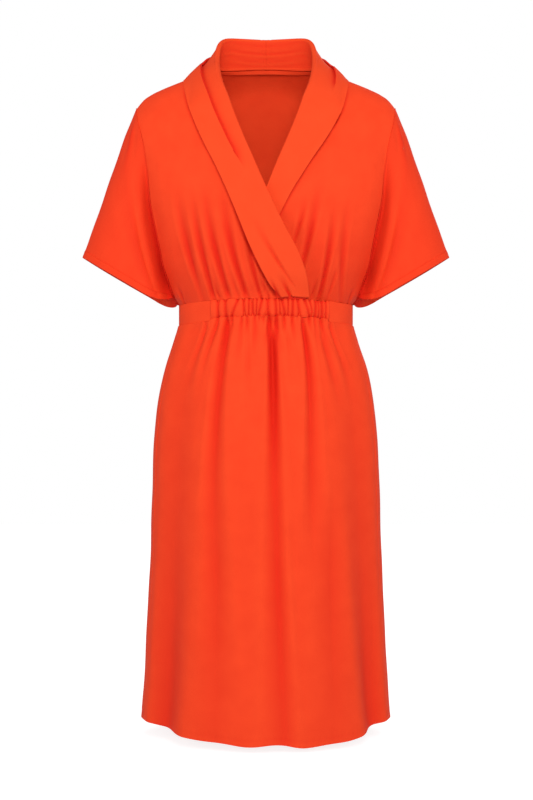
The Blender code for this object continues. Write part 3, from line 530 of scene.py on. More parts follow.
def turned_under(width, corner=CORNER):
    """An edge's way past a piece's last row, as (on, in): a small quarter circle, then back inside."""
    way = [(corner * math.sin(a), corner * (1 - math.cos(a))) for a in np.radians([30, 60, 90])]
    way += [(corner, 0.7 * TURNED_IN), (0.5 * corner, 0.97 * TURNED_IN)]
    return way + [(-width * share, TURNED_IN) for share in (0.12, 0.4, 0.7, 1.0)]


def laid_under(width, corner=CORNER):
    """An edge's way past a piece's last row: a small quarter circle, then down and on under its neighbour."""
    way = [(corner * math.sin(a), corner * (1 - math.cos(a))) for a in np.radians([30, 60, 90])]
    way += [(corner, 0.5 * LAID_IN), (1.5 * corner, 0.85 * LAID_IN)]
    return way + [(width * share, LAID_IN) for share in (0.2, 0.45, 0.7, 1.0)]


def longer(points, out, painted_shade, before, after):
    """The grid with rows added before its first and after its last one.

    Each added row stands off that row by on along the cloth, and by in against its normal.
    """
    line = lambda value: np.reshape(value, (-1, 1))
    ahead, behind = unit(points[0] - points[2]), unit(points[-1] - points[-3])
    first = [points[0] + line(on) * ahead - line(inside) * out[0] for on, inside in before]
    last = [points[-1] + line(on) * behind - line(inside) * out[-1] for on, inside in after]
    points = np.stack(first[::-1] + list(points) + last)
    pad = (len(before), len(after))
    return points, np.pad(out, (pad, (0, 0), (0, 0)), mode="edge"), np.pad(painted_shade, (pad, (0, 0)), mode="edge")


def with_edges(points, painted_shade, turned=True, side=1, closed=False, top=(), bottom=(), left=(), right=()):
    """The grid and its painted shade, with rows and columns added past its edges, mirrored for side -1.

    The last value returned says whether the grid's faces have to be turned over to face outwards.
    """
    rows = len(points)
    pad = lambda value: np.pad(np.broadcast_to(value, rows), (len(top), len(bottom)), mode="edge")
    left, right = [[(pad(on), pad(inside)) for on, inside in edge] for edge in (left, right)]
    out, painted_shade = outward(points, turned, closed), painted_shade + np.zeros(points.shape[:2])
    points, out, painted_shade = longer(points, out, painted_shade, top, bottom)
    points, out, painted_shade = [np.swapaxes(value, 0, 1) for value in (points, out, painted_shade)]
    points, out, painted_shade = longer(points, out, painted_shade, left, right)
    return np.swapaxes(points, 0, 1) * np.array([side, 1, 1]), painted_shade.T, turned == (side > 0)


def run_lengths(points, axis):
    """Mean distance along a grid from its first line, in metres."""
    lengths = np.linalg.norm(np.diff(points, axis=axis), axis=-1)
    return np.concatenate([[0.0], np.cumsum(np.mean(lengths, axis=1 - axis))])


def cloth(name, points, painted_shade, turned, thickness, material, node, closed=False):
    """A sheet of cloth through a grid of points, thickened inwards, with a UV map in metres.

    Each cell becomes a face, and a closed grid's last column joins its first. The UV map runs along
    the mean lengths of the columns and rows, so that a pattern on it keeps its size. A float attribute
    on its points holds its painted shade, from 0 to 1: how far its colour is darkened as shade in folds,
    grooves and hollows, under the collar and where less light falls.
    """
    rows, columns = points.shape[:2]
    index = np.arange(rows * columns).reshape(rows, columns)
    here = index if closed else index[:, :-1]
    beside = np.roll(index, -1, axis=1) if closed else index[:, 1:]
    quads = np.stack([here[:-1], beside[:-1], beside[1:], here[1:]], axis=-1).reshape(-1, 4)
    if turned:
        quads = quads[:, ::-1]
    u, v = np.meshgrid(run_lengths(points, 1), run_lengths(points, 0))
    places = np.stack([u.ravel(), -v.ravel()], axis=-1)[quads.ravel()]
    mesh = bpy.data.meshes.new(name)
    mesh.from_pydata(points.reshape(-1, 3).tolist(), [], quads.tolist())
    mesh.uv_layers.new(name="cloth").data.foreach_set("uv", places.ravel())
    mesh.attributes.new("painted_shade", "FLOAT", "POINT").data.foreach_set("value", np.clip(painted_shade, 0, 1).ravel())
    mesh.shade_smooth()
    mesh.materials.append(material)
    piece = bpy.data.objects.new(name, mesh)
    bpy.context.scene.collection.objects.link(piece)
    shell = piece.modifiers.new("cloth", "SOLIDIFY")
    shell.thickness = thickness
    shell.offset = -1.0
    shell.use_quality_normals = True
    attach(piece, "root")
    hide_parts(node)
    return piece


# ---- the pieces' surfaces ----
def rows_down(share):
    """The panels' row parameter at a share of the way down: arccos(1 - 2 share) / pi."""
    return np.arccos(1 - 2 * share) / math.pi


def down(v):
    """Share of the way down the bodice for a row parameter, the other way round."""
    return (1 - np.cos(math.pi * v)) / 2


def armhole(v, column):
    """The armhole seam on the front or the back, from the shoulder tip (0) to the underarm (1)."""
    z = mix(SHOULDER_TIP_Z, waist_height(WAIST_HALF_WIDTH) + SEAM, down(v))
    x = smooth(BODICE, "armhole_x", z)
    return x, form_depth(x, z, column), z


def armhole_pull(z, share):
    """How far the armhole seam is drawn in below the form: nothing at the shoulder and the underarm."""
    return share * ARMHOLE_PULL * step((-0.10 - z) / 0.15) * step((z + 0.386) / 0.045)


def armhole_groove(outer_x, outer_z, x, share):
    """How far a panel dips towards its armhole seam at outer_x: the seam's pull times a square."""
    return armhole_pull(outer_z, share) * np.clip(1 - (outer_x - np.abs(x)) / ARMHOLE_ROUND, 0, 1)**2


def waist_pull(x, z, front):
    """How far down the casing's scallops draw the cloth, fading above them as exp(-height / reach)."""
    return scallop(x, 0.0, front) * np.exp(-np.maximum(z - waist_height(x), 0.0) / PULL_REACH)


def seam_shown(z):
    """Share of its full width that the armhole seam's groove has: hardly any at the shoulder."""
    return 0.02 + 0.98 * step((-0.14 - z) / 0.08)


def armhole_edge(z):
    """A panel's edge along the armhole, on under the sleeve: hardly any where the seam's groove is flat."""
    shown = seam_shown(z)
    return laid_under(0.0002 + 0.0038 * shown, CORNER * shown)


def hem_relief(along, from_hem, pitch, drift, wave, pucker, groove):
    """A hem's stitches as relief: puckers about a pitch long, less the groove in which the row is sunk.

    The puckers are a sine along the hem whose length drifts as a second, slower sine.
    """
    puckers = np.sin(2 * math.pi * along / pitch + drift * np.sin(along * wave))
    return (pucker * puckers * bump(from_hem - HEM_WIDTH, PUCKER_WIDTH)
            - groove * bump(from_hem - HEM_WIDTH, STITCH_WIDTH))


def rounded_tip(points):
    """The points with the shoulder tip rounded off: moved in and down, most of all at the tip."""
    away = np.hypot(points[..., 0] - SHOULDER_TIP_X, points[..., 2] - SHOULDER_TIP_Z)
    return points - (TIP_ROUND * bump(away, 0.06))[..., None] * np.array([0.8, 0.0, 0.6])


def panel_rows(inner_x, inner_z, v, u):
    """x and z of a front from its inner edge (u = 0) to the armhole, in rows from shoulder to waist."""
    outer_x, _, outer_z = armhole(v, "front_depth")
    outer_x = outer_x - SEAM * 0.6 * seam_shown(outer_z)
    start = np.arcsin(np.clip(inner_x / outer_x, -1, 1))
    x = outer_x * np.sin(mix(start, math.pi / 2, u))
    share = (x - inner_x) / (outer_x - inner_x)
    z = mix(inner_z, outer_z, share)
    top_bend = shoulder_height(x[:1]) - z[:1]
    waist_bend = waist_height(x[-1:]) + SEAM - z[-1:]
    return x, z + (1 - v)**2 * top_bend + v**4 * waist_bend


def above_casing(world_x, z, front):
    """Small puckers just above the casing: the cloth stays puffed between its creases and fades up."""
    fade = np.exp(-np.maximum(z - waist_height(world_x), 0.0) / PUCKER_REACH)
    return PUCKER * (puff(world_x, 0.0, front) - 0.5) * elastic(world_x, front) * fade


def under_collar(x, z, under):
    """1 on the cloth that the collar covers and 0 a little way beyond its free edge, seen from the front: the
    mask of the shadow painted on beneath the collar.
    """
    t = np.linspace(0.29, 1, 120)
    edge = collar_frame(t, under)[2]
    past = (x - np.interp(-z, -edge[:, 2], edge[:, 0])) * 0.85
    return step(1 - past / 0.0055) * step((-0.03 - z) / 0.03)


def front_panel(side):
    """One front panel: side is -1 for the upper (wearer's right) one and 1 for the under one.

    Its points lie on the form at their x and z, less the wrap's sink, the armhole's groove, the creases
    that rise from the waist and a soft swell, and the puckers above the casing stand out from it.
    """
    v = rows_down(shares(PANEL_ROWS, 0.38))[:, None]
    u = shares(PANEL_COLUMNS, 0.2, start=False)[None, :]
    inner_z = mix(0.0, BAND_TOP + SEAM, down(v))
    inner_x = smooth(FRONT_EDGE, "x", inner_z)
    x, z = panel_rows(inner_x, inner_z, v, u)
    under, world_x = side > 0, side * x
    z = z - waist_pull(world_x, z, True)
    outer_x, _, outer_z = armhole(v, "front_depth")
    depth = form_depth(x, z, "front_depth") - (wrap_sink(x, z) if under else 0.0)
    depth = depth - armhole_groove(outer_x, outer_z, x, 1.0)
    points = grid(x, -np.maximum(depth, 0.0) - SEAM, z)
    out = outward(points, True)
    sink = creases(UNDER_FRONT_CREASES if under else UPPER_FRONT_CREASES, x, z)
    sink = held(sink, edge_dip(world_x, 0.0, True), z - waist_height(x))
    relief = above_casing(world_x, z, True) - sink
    fade = step((1 - u) / 0.1) * step(v / 0.15)
    relief = relief + PANEL_SWELL * swell(x, 0.4 * z, 0.052, 1.0 + side) * fade
    points = rounded_tip(points + relief[..., None] * out)
    # Painted shade: darker in the creases, under the collar and just past its free edge as a painted shadow,
    # and towards the waist.
    painted_shade = sink / FRONT_SHADE_DEPTH + 0.8 * under_collar(x, z, under) + 0.22 * step((-0.20 - z) / 0.12)
    return with_edges(points, painted_shade, side=side, top=turned_under(SEAM_ALLOWANCE),
                      bottom=laid_under(SEAM_ALLOWANCE), right=armhole_edge(outer_z[:, 0]))


def back_neck(share):
    """The back neck seam from centre back (0) to the shoulder seam (1): a quarter of an ellipse."""
    across, back = np.sin(share * math.pi / 2), np.cos(share * math.pi / 2)
    return grid(NECK_HALF_WIDTH * across, NECK_DEPTH * back, NECK_BACK_RISE * back**2)


def back_panel():
    """The back in one piece, from armhole to armhole. Its top columns follow the neck and shoulders.

    Its points lie on the form as the fronts' do, and its top rows draw in to the line of the neck.
    """
    v = rows_down(shares(PANEL_ROWS, 0.38))[:, None]
    neck_turn = np.linspace(0, 1, NECK_COLUMNS + 1)[:-1]
    shoulder_turn = np.append(np.linspace(0, 1, SHOULDER_COLUMNS + 1)[1:-1], [0.985, 0.993, 1.0])
    top_x = np.concatenate([NECK_HALF_WIDTH * np.sin(neck_turn * math.pi / 2),
                            mix(NECK_HALF_WIDTH, SHOULDER_TIP_X, np.sin(shoulder_turn * math.pi / 2))])
    even = np.sin(np.concatenate([neck_turn * 5 / 11, 5 / 11 + shoulder_turn * 6 / 11]) * math.pi / 2)
    top_x, even = [np.concatenate([-half[:0:-1], half])[None, :] for half in (top_x, even)]
    outer_x, _, outer_z = armhole(v, "back_depth")
    outer_x = outer_x - SEAM * 0.6 * seam_shown(outer_z)
    x = mix(even * outer_x, top_x * outer_x / SHOULDER_TIP_X, (1 - v)**2)
    inside_neck = np.clip(1 - (top_x / NECK_HALF_WIDTH)**2, 0, 1)
    at_neck = inside_neck > 0
    top_z = np.where(at_neck, NECK_BACK_RISE * inside_neck, shoulder_height(x[:1]))
    z = mix(mix(NECK_BACK_RISE, BAND_TOP + SEAM, down(v)), outer_z, (x / outer_x)**2)
    z = z + (1 - v)**2 * (top_z - z[:1]) + v**4 * (waist_height(x[-1:]) + SEAM - z[-1:])
    z = z - waist_pull(x, z, False)
    neck_line = np.sqrt(inside_neck) * NECK_DEPTH
    depth = mix(form_depth(x, z, "back_depth"), neck_line, np.where(at_neck, (1 - v)**13, 0.0))
    depth = depth - armhole_groove(outer_x, outer_z, x, 0.6)
    points = grid(x, np.maximum(depth, 0.0) + SEAM, z)
    sink = held(creases(BACK_CREASES, x, z), edge_dip(x, 0.0, False), z - waist_height(x))
    relief = above_casing(x, z, False) - sink
    fade = step((1 - np.abs(even)) / 0.1) * step(v / 0.2)
    relief = relief + PANEL_SWELL * swell(x, 0.4 * z, 0.055, 3.0) * fade
    points = points + relief[..., None] * outward(points, False)
    to_side = np.where(points[..., :1] < 0, np.array([-1, 1, 1]), 1)
    points = rounded_tip(points * to_side) * to_side
    neck, shoulder = turned_under(SEAM_ALLOWANCE), laid_under(SEAM_ALLOWANCE)
    top = [tuple(np.where(at_neck[0], at, beside) for at, beside in zip(*steps))
           for steps in zip(neck, shoulder)]
    edge = armhole_edge(outer_z[:, 0])
    # Painted shade: the back is darker in its creases.
    return with_edges(points, sink / BACK_SHADE_DEPTH, turned=False, top=top, bottom=laid_under(SEAM_ALLOWANCE),
                      left=edge, right=edge)


def sleeve(side):
    """A wide sleeve from the armhole to its slanting hem, drawn round from the shoulder tip.

    Straight lines run from the armhole to an ellipse, the hem. It sinks in along a valley down the
    front and one down the back, and beside the seam. Creases, stitches and a swell are laid on that.
    """
    v = np.linspace(0, 1, SLEEVE_HALF_COLUMNS + 1)
    front, back = [grid(*armhole(v, column)) for column in ("front_depth", "back_depth")]
    top = np.concatenate([front * np.array([1, -1, 1]), back[-2:0:-1]])
    turn = np.concatenate([v, 2 - v[-2:0:-1]]) / 2
    from_tip = np.minimum(turn, 1 - turn)
    shown = seam_shown(top[:, 2])
    top[:, 0] += SEAM * shown + UNDERARM_CLEAR_X * bump(turn - 0.5, 0.2)
    top[:, 2] += UNDERARM_CLEAR_Z * bump(turn - 0.5, 0.1)
    angle = 2 * math.pi * turn
    out_share = (1 + np.cos(angle)) / 2
    hem = grid(mix(SLEEVE_INNER_X, SLEEVE_TOP_X, out_share), -SLEEVE_HEM_DEPTH * np.sin(angle),
               mix(SLEEVE_INNER_Z, SLEEVE_TOP_Z, out_share) + smooth(SLEEVE_HEM_RISE, "rise", turn))
    s = shares(SLEEVE_ROWS, 0.2)[:, None]
    points = mix(top, hem, s[..., None])
    length = np.linalg.norm(hem - top, axis=-1)
    from_hem, from_seam = (1 - s) * length, s * length
    facing = np.sign(np.sin(angle))
    in_front = facing > 0
    pull = armhole_pull(top[:, 2], np.where(in_front, 1.0, 0.6)) * (1 - step(from_seam / 0.05))
    valley = SLEEVE_FRONT_VALLEY * bump(turn - 0.32, 0.19) + SLEEVE_BACK_VALLEY * bump(turn - 0.68, 0.18)
    beside = from_seam / SLEEVE_STEP_WIDTH
    dive = armhole_pull(top[:, 2], np.where(in_front, 1.0, 0.5)) / ARMHOLE_PULL * SLEEVE_STEP
    sink = np.sin(math.pi * s**0.42) * valley + pull + dive * beside * np.exp(1 - beside)
    points[..., 1] += sink * facing
    slope = (shoulder_height(SHOULDER_TIP_X + 0.001) - shoulder_height(SHOULDER_TIP_X - 0.004)) / 0.005
    bend = unit(np.array([1.0, 0.0, slope])) - unit(hem - top)
    carried_on = 0.5 * bump(from_tip, 0.14) * from_seam * np.exp(-from_seam / 0.01)
    points += bend * carried_on[..., None]
    folds = np.where(in_front, *(creases(rows, points[..., 0], points[..., 2])
                                 for rows in (SLEEVE_FRONT_CREASES, SLEEVE_BACK_CREASES)))
    folds = folds * step(from_seam / 0.02)
    around = np.concatenate([[0], np.cumsum(np.linalg.norm(np.diff(hem, axis=0), axis=-1))])
    relief = hem_relief(around, from_hem, 0.0072, 1.1, 61, 0.00022, 0.00035) - folds
    relief = relief + SLEEVE_SWELL * swell(around, from_hem, 0.08, 5.0) * step(s / 0.2)
    points = rounded_tip(points + relief[..., None] * outward(points, True, closed=True))
    # Painted shade: darker beside the armhole seam in the valleys down the front and the back and all along
    # the armhole, more on one sleeve's front than the other's, in the creases and the hem's stitch groove, a
    # little all over, and most under the arm towards the hem.
    dark = bump(turn - 0.34, 0.20) + 0.6 * bump(turn - 0.66, 0.16)
    dark = np.maximum(dark, 0.9 * step((-0.14 - top[:, 2]) / 0.14) * step((top[:, 2] + 0.39) / 0.02))
    painted_shade = dark * step(1 - from_seam / 0.045) * np.where(in_front, 0.9 - 0.15 * side, 0.7)
    painted_shade = painted_shade + folds / CREASE_SHADE_DEPTH + 0.25 * bump(from_hem - HEM_WIDTH, 0.0016) + 0.3
    painted_shade = painted_shade + bump(turn - 0.5, 0.12) * step(1 - from_hem / 0.09)
    allowance = SEAM_ALLOWANCE * (1 - 0.95 * step((0.22 - from_tip) / 0.06))
    return with_edges(points, painted_shade, side=side, closed=True, top=turned_under(allowance, CORNER * shown),
                      bottom=turned_under(HEM_WIDTH))


def collar_seam(t, under):
    """The line along which the collar is sewn to the back neck and to the front panel's edge."""
    behind = back_neck(np.clip(t / NECK_SHARE, 0, 1))
    along = np.clip((t - NECK_SHARE) / (1 - NECK_SHARE), 0, 1)
    z = mix(0.0, BAND_TOP + 2 * COLLAR_GAP, along)
    x = smooth(FRONT_EDGE, "x", z) - 2 * COLLAR_GAP
    sink = wrap_sink(x, z) if under else 0.0
    before = grid(x, sink - form_depth(x, z, "front_depth"), z)
    return np.where((t < NECK_SHARE)[:, None], behind, before)


def collar_frame(t, under):
    """The collar's seam, roll and free edge, with the ways up to its roll and out from the neck."""
    seam = collar_seam(t, under)
    roll, edge = [grid(*(smooth(COLLAR, line + axis, t) for axis in "xyz")) for line in ("roll_", "edge_")]
    if under:
        edge = mix(roll, edge, smooth(COLLAR, "under_width", t)[:, None])
    in_front = step((t - COLLAR_FLAT_FROM) / COLLAR_FLAT_BLEND)[:, None]
    level = seam - np.array([COLLAR_ROLL_REACH, 0, 0])
    roll = mix(roll, level, in_front)
    up = unit(soften(unit(roll - seam), 60))
    away = grid(seam[:, 0], seam[:, 1] - 0.01, 0)
    away = unit(away - (away * up).sum(-1, keepdims=True) * up)
    return seam, soften(roll, 30), edge, up, away, in_front


def soften(lines, times):
    """Values along a line, each one averaged with its neighbours a number of times, its ends kept."""
    for _ in range(times):
        lines = np.concatenate([lines[:1], (lines[:-2] + 2 * lines[1:-1] + lines[2:]) / 4, lines[-1:]])
    return lines


def collar_leg(t, under):
    """The collar from its seam up to where it starts to turn over, as two lines of points."""
    seam, roll, _, up, away, in_front = collar_frame(t, under)
    radius = mix(COLLAR_ROLL_BACK, COLLAR_ROLL_FRONT, step((t - NECK_SHARE) / 0.2))[:, None]
    inner_face = COLLAR_CLOTH - COLLAR_GAP
    seam = seam - inner_face * in_front * away + 2 * COLLAR_GAP * (1 - in_front) * up
    centre = roll - up * radius + away * (radius - inner_face) * in_front
    return seam, centre - radius * away, centre, radius


# The collar's pleats, from the shoulder down: the share of the way from the roll to the free edge at
# which the outer part of the fall laps over the inner one, and how high its lip stands there. The
# first is the upper half's and runs a long way down, and the other half's is short.
LONG_PLEAT = table(
    "t share height_mm",
    (0, 0.25, 0), (0.1, 0.25, 0), (0.15, 0.27, 2.6), (0.19, 0.31, 4), (0.205, 0.345, 4.4),
    (0.22, 0.385, 4.6), (0.25, 0.412, 4.8), (0.28, 0.438, 4.6), (0.34, 0.438, 4.2), (0.38, 0.436, 3.6),
    (0.42, 0.425, 3.1), (0.46, 0.412, 2.7), (0.5, 0.4, 2), (0.55, 0.362, 1), (0.6, 0.312, 0), (1, 0.3, 0),
)
SHORT_PLEAT = table(
    "t share height_mm",
    (0, 0.25, 0), (0.1, 0.25, 0), (0.15, 0.28, 1.8), (0.19, 0.33, 3.2), (0.205, 0.38, 3.5),
    (0.22, 0.455, 3.6), (0.25, 0.515, 3.4), (0.28, 0.59, 2.4), (0.31, 0.62, 1), (0.335, 0.64, 0),
    (1, 0.64, 0),
)
# How far the collar's fall swells between its roll and its edge.
SWELL = table(
    "t swell_mm",
    (0, 7), (0.08, 6.5), (0.15, 4.5), (0.2, 4), (0.27, 4), (0.34, 4.5), (0.45, 7), (1, 7),
)


def sample(points, share):
    """A grid's points at shares of the way along its rows, by straight lines between its columns."""
    rows, columns = points.shape[:2]
    place = np.clip(share, 0, 1) * (columns - 1)
    low = np.minimum(place.astype(int), columns - 2)
    row = np.arange(rows)[:, None]
    return mix(points[row, low], points[row, low + 1], (place - low)[..., None])


PLEAT_FULL = 0.0016  # height from which a pleat is wholly folded
LIP_ROOM, LIP_FLAT = 0.0036, (0.0003, 0.0031)  # width kept for its lip, and its columns' where it lies flat


def pleated(rows, t, length):
    """Places of the fall's columns, as shares of its width, with their heights over it and the painted shade
    on the pleat's lip and just past it.

    From the free edge the cloth rises to the pleat's lip, turns down in a half circle, runs back a
    little under itself, turns again and goes on flat to the roll. Where the pleat has no height the
    same columns lie flat. All is worked out from the edge and then put in order from the roll.
    """
    line = 1 - smooth(rows, "share", t)[:, None]
    height = np.maximum(smooth(rows, "height", t), 0.0)[:, None]
    folded = step(height / PLEAT_FULL)
    outer = shares(24, 0.035, end=False)[None]
    inner = np.linspace(0, 1, 22)[None, :-1]
    a = np.radians([20, 50, 90, 130, 160, 180])[None]
    back = np.array([[0.4, 0.8, 1.0, 0.7]]) * 0.9 * height
    on = np.concatenate([height / 2 * np.sin(a), -back], axis=1)
    under_lip = -folded * np.array([[0, 0.0001, 0.0003, 0.0006]])
    lip = np.concatenate([height / 2 * (1 + np.cos(a)), under_lip], axis=1)
    on = mix(np.linspace(*LIP_FLAT, on.shape[1])[None], on, folded)
    start = line + LIP_ROOM / length
    place = np.concatenate([line * outer, line + on / length, mix(start, 1.0, inner)], axis=1)
    beyond = (place[:, -inner.shape[1]:] - start) * length
    up = np.concatenate([height * outer**2.0, lip, -0.0010 * folded * np.exp(-beyond / 0.007)], axis=1)
    # Painted shade on the lip, fading on the cloth just past it.
    shade = 0.85 * folded * np.exp(-beyond / 0.0045)
    hidden = np.concatenate([0 * outer * line, folded + 0 * on, shade], axis=1)
    return 1 - place[:, ::-1], up[:, ::-1], hidden[:, ::-1]


def collar_half(side):
    """One half of the collar: up inside the neck from its seam, over the roll and down to its edge.

    Its rows go along it and its columns across: a straight leg, half a circle, and a fall that bows
    outwards as a cubic, is laid on the form, and has its pleat folded in. Its creases are sunk in.
    """
    under = side > 0
    t = np.concatenate([np.linspace(0, NECK_SHARE, COLLAR_NECK_ROWS)[:-1],
                        np.linspace(NECK_SHARE, 1, COLLAR_FRONT_ROWS)])
    t = np.insert(t, 1, np.array([0.0005, 0.0012, 0.0022, 0.0034]) / COLLAR_LENGTH)
    t = np.unique(t.round(7))
    T = t[:, None]
    _, _, edge, up, away, in_front = collar_frame(t, under)
    seam, leg_top, centre, radius = collar_leg(t, under)
    heights = np.linspace(0, 1, COLLAR_STAND_COLUMNS)[None, :-1]
    leg = mix(seam[:, None], leg_top[:, None], heights[..., None])
    a = np.linspace(0, math.pi, COLLAR_ROLL_COLUMNS)[None, :, None]
    arc = centre[:, None] + radius[:, None] * (np.sin(a) * up[:, None] - np.cos(a) * away[:, None])
    chord = edge - arc[:, -1]
    length = np.linalg.norm(chord, axis=-1, keepdims=True)
    chord = chord / length
    bow = unit(away - (away * chord).sum(-1, keepdims=True) * chord)
    even = np.linspace(0, 1, COLLAR_FALL_COLUMNS)[None, 1:, None]
    fall = (mix(arc[:, -1:], edge[:, None], even)
            + bow[:, None] * (6.5 * smooth(SWELL, "swell", t)[:, None, None] * even**2 * (1 - even)))
    lift = COLLAR_LIFT + COLLAR_SHOULDER_LIFT * (1 - in_front)
    lift = lift - 0.0030 * bump(T - 0.24, 0.20) * step((even[..., 0] - 0.5) / 0.4)
    stand_off = 0.0010 + 0.0048 * bump(t - 0.48, 0.18) if under else 0.0020 + 0.0044 * bump(t - 0.85, 0.35)
    lift = lift + stand_off[:, None] * step((even[..., 0] - 0.5) / 0.5) * in_front
    fall = soften(lay_on_form(fall, lift, under, in_front), 8)
    points = np.concatenate([leg, arc, fall], axis=1)
    out = outward(points, True)
    stand, first = leg.shape[1], leg.shape[1] + arc.shape[1]
    place, height, hidden = pleated(SHORT_PLEAT if under else LONG_PLEAT, t, length)
    fall = sample(points[:, first - 1:], place)
    height = height + 0.0004 * swell(T * 0.55, place * 0.07, 0.05, 2.0 + side)
    sink = 0 * place if under else creases(COLLAR_CREASES, fall[..., 0], fall[..., 2])
    height = height - sink
    fall = fall + height[..., None] * sample(out[:, first - 1:], place)
    wrinkles = (np.sin(2 * math.pi * 4.1 * heights + 2.2 * np.sin(24 * T + 1.0))
                + 0.6 * np.sin(43 * heights - 40 * T))
    relief = np.zeros(points[:, :first].shape[:2])
    relief[:, :stand] = STAND_WRINKLE * wrinkles * step(1 - T / 0.24) * np.sin(math.pi * heights)**0.7
    points = np.concatenate([points[:, :first] + relief[..., None] * out[:, :first], fall], axis=1)
    groove = CENTRE_GROOVE * bump(T * COLLAR_LENGTH - CENTRE_GROOVE_X, CENTRE_GROOVE_WIDTH)
    groove = groove + np.zeros(points.shape[:2])
    groove[:, first:] *= height.max(axis=1, keepdims=True) < 0.001
    out = np.concatenate([out[:, :first], sample(out[:, first - 1:], place)], axis=1)
    points = points - groove[..., None] * out
    # Painted shade: darker in the troughs of the standing part's wrinkles and all over that part, in the
    # creases, and on the pleat's lip and just past it.
    painted_shade = np.concatenate([relief * -500, sink / CREASE_SHADE_DEPTH + hidden], axis=1)
    painted_shade[:, :stand] += STAND_SHADE
    points[:, :, 0] -= CENTRE_OVERLAP
    rounded = [(2 * CORNER * math.sin(a), 2 * CORNER * (1 - math.cos(a))) for a in np.radians([35, 65, 90])]
    return with_edges(points, painted_shade, side=side, right=rounded)


def neck_tape():
    """The strip over the back neck seam, on the inner face of the collar's standing part.

    Its points go up from the seam on that face, crowned by half a sine across the strip.
    """
    t = np.linspace(0, NECK_SHARE, TAPE_COLUMNS)
    seam, leg_top, _, _ = collar_leg(t, False)
    away = collar_frame(t, False)[4]
    inward = -away * (NECK_TAPE_CLOTH + 2 * COLLAR_GAP)
    along = unit(leg_top - seam)
    foot = seam + inward + along * NECK_TAPE_FOOT
    across = np.array([0, 0.1, 0.3, 0.5, 0.7, 0.9, 1])[None, :, None] * NECK_TAPE_WIDTH
    crown = NECK_TAPE_CROWN * np.sin(math.pi * across / NECK_TAPE_WIDTH)
    half = foot[:, None] + along[:, None] * across - away[:, None] * crown
    points = np.concatenate([half[:0:-1] * np.array([-1, 1, 1]), half])
    return points, np.zeros(points.shape[:2]), False


def half_turn(facing, places):
    """Angles from centre front across the front (1) or the back (-1), just short of its side seams."""
    gap = SEAM / WAIST_DEPTH
    if facing > 0:
        return mix(-SIDE_SEAM + gap, SIDE_SEAM - gap, places)[None, :]
    return mix(SIDE_SEAM + gap, 2 * math.pi - SIDE_SEAM - gap, places)[None, :]


def waistband(facing):
    """The front (1) or the back (-1) of the waistband: an ellipse, puffed out between its creases.

    The puff is 1 - exp(-distance / width) beside a crease, and the root of half a sine across the
    band. Each crease also draws the band's two edges in.
    """
    front = facing > 0
    angle = half_turn(facing, shares(BAND_FRONT_COLUMNS if front else BAND_BACK_COLUMNS, 0.35))
    share = shares(BAND_ROWS, BAND_HEIGHT)[:, None]
    x = WAIST_HALF_WIDTH * np.sin(angle)
    height = BAND_HEIGHT + BAND_SIDE_EXTRA * np.sin(angle)**2 - 2 * SEAM
    z = waist_height(x) - SEAM - share * height
    z = z - scallop(x, 0.0, front) * (1 - share)**2 + low_edge(x, front) * share**2
    points = grid((WAIST_HALF_WIDTH + CASING) * np.sin(angle), -(WAIST_DEPTH + CASING) * np.cos(angle), z)
    puffed = puff(x, share, front)
    pillow = RUCHE_PUFF * puffed * np.sqrt(np.sin(math.pi * np.clip(share, 0.02, 0.98)))
    flat_ends = FLAT_END_LIFT * (1 - elastic(x, front))
    dip = edge_dip(x, 0.0, front) * (1 - share)**4 + edge_dip(x, 1.0, front) * share**4
    points = points + (pillow + flat_ends - dip)[..., None] * outward(points, True)
    # Painted shade: the casing is darker in its creases, and more so towards its edges.
    beside_edges = step((np.abs(share - 0.5) - 0.34) / 0.12)
    painted_shade = ((1.3 + 1.2 * beside_edges) * (1 - puffed) - 0.15) * elastic(x, front)
    edge = turned_under(CASING_ALLOWANCE)
    ends = laid_under(CASING_ALLOWANCE) if front else edge
    return with_edges(points, painted_shade, top=edge, bottom=edge, left=ends, right=ends)


def gather_depth(gathers, x, below):
    """Depth of the gathers at the waist's x and a distance below the casing, each fading out as it falls."""
    total = np.zeros(np.broadcast(x, below).shape)
    for start, reach, depth, lean in zip(*gathers.values()):
        line = start + lean * below
        width = GATHER_WIDTH * (1 + below / 0.022)
        trough = np.exp(-(np.abs(x - line) / width)**1.4)
        ridge = np.exp(-((np.abs(x - line) - 2.0 * width) / width)**2)
        total = total + depth * (trough - 0.35 * ridge) * np.exp(-(below / reach)**1.3 * 1.6)
    return total


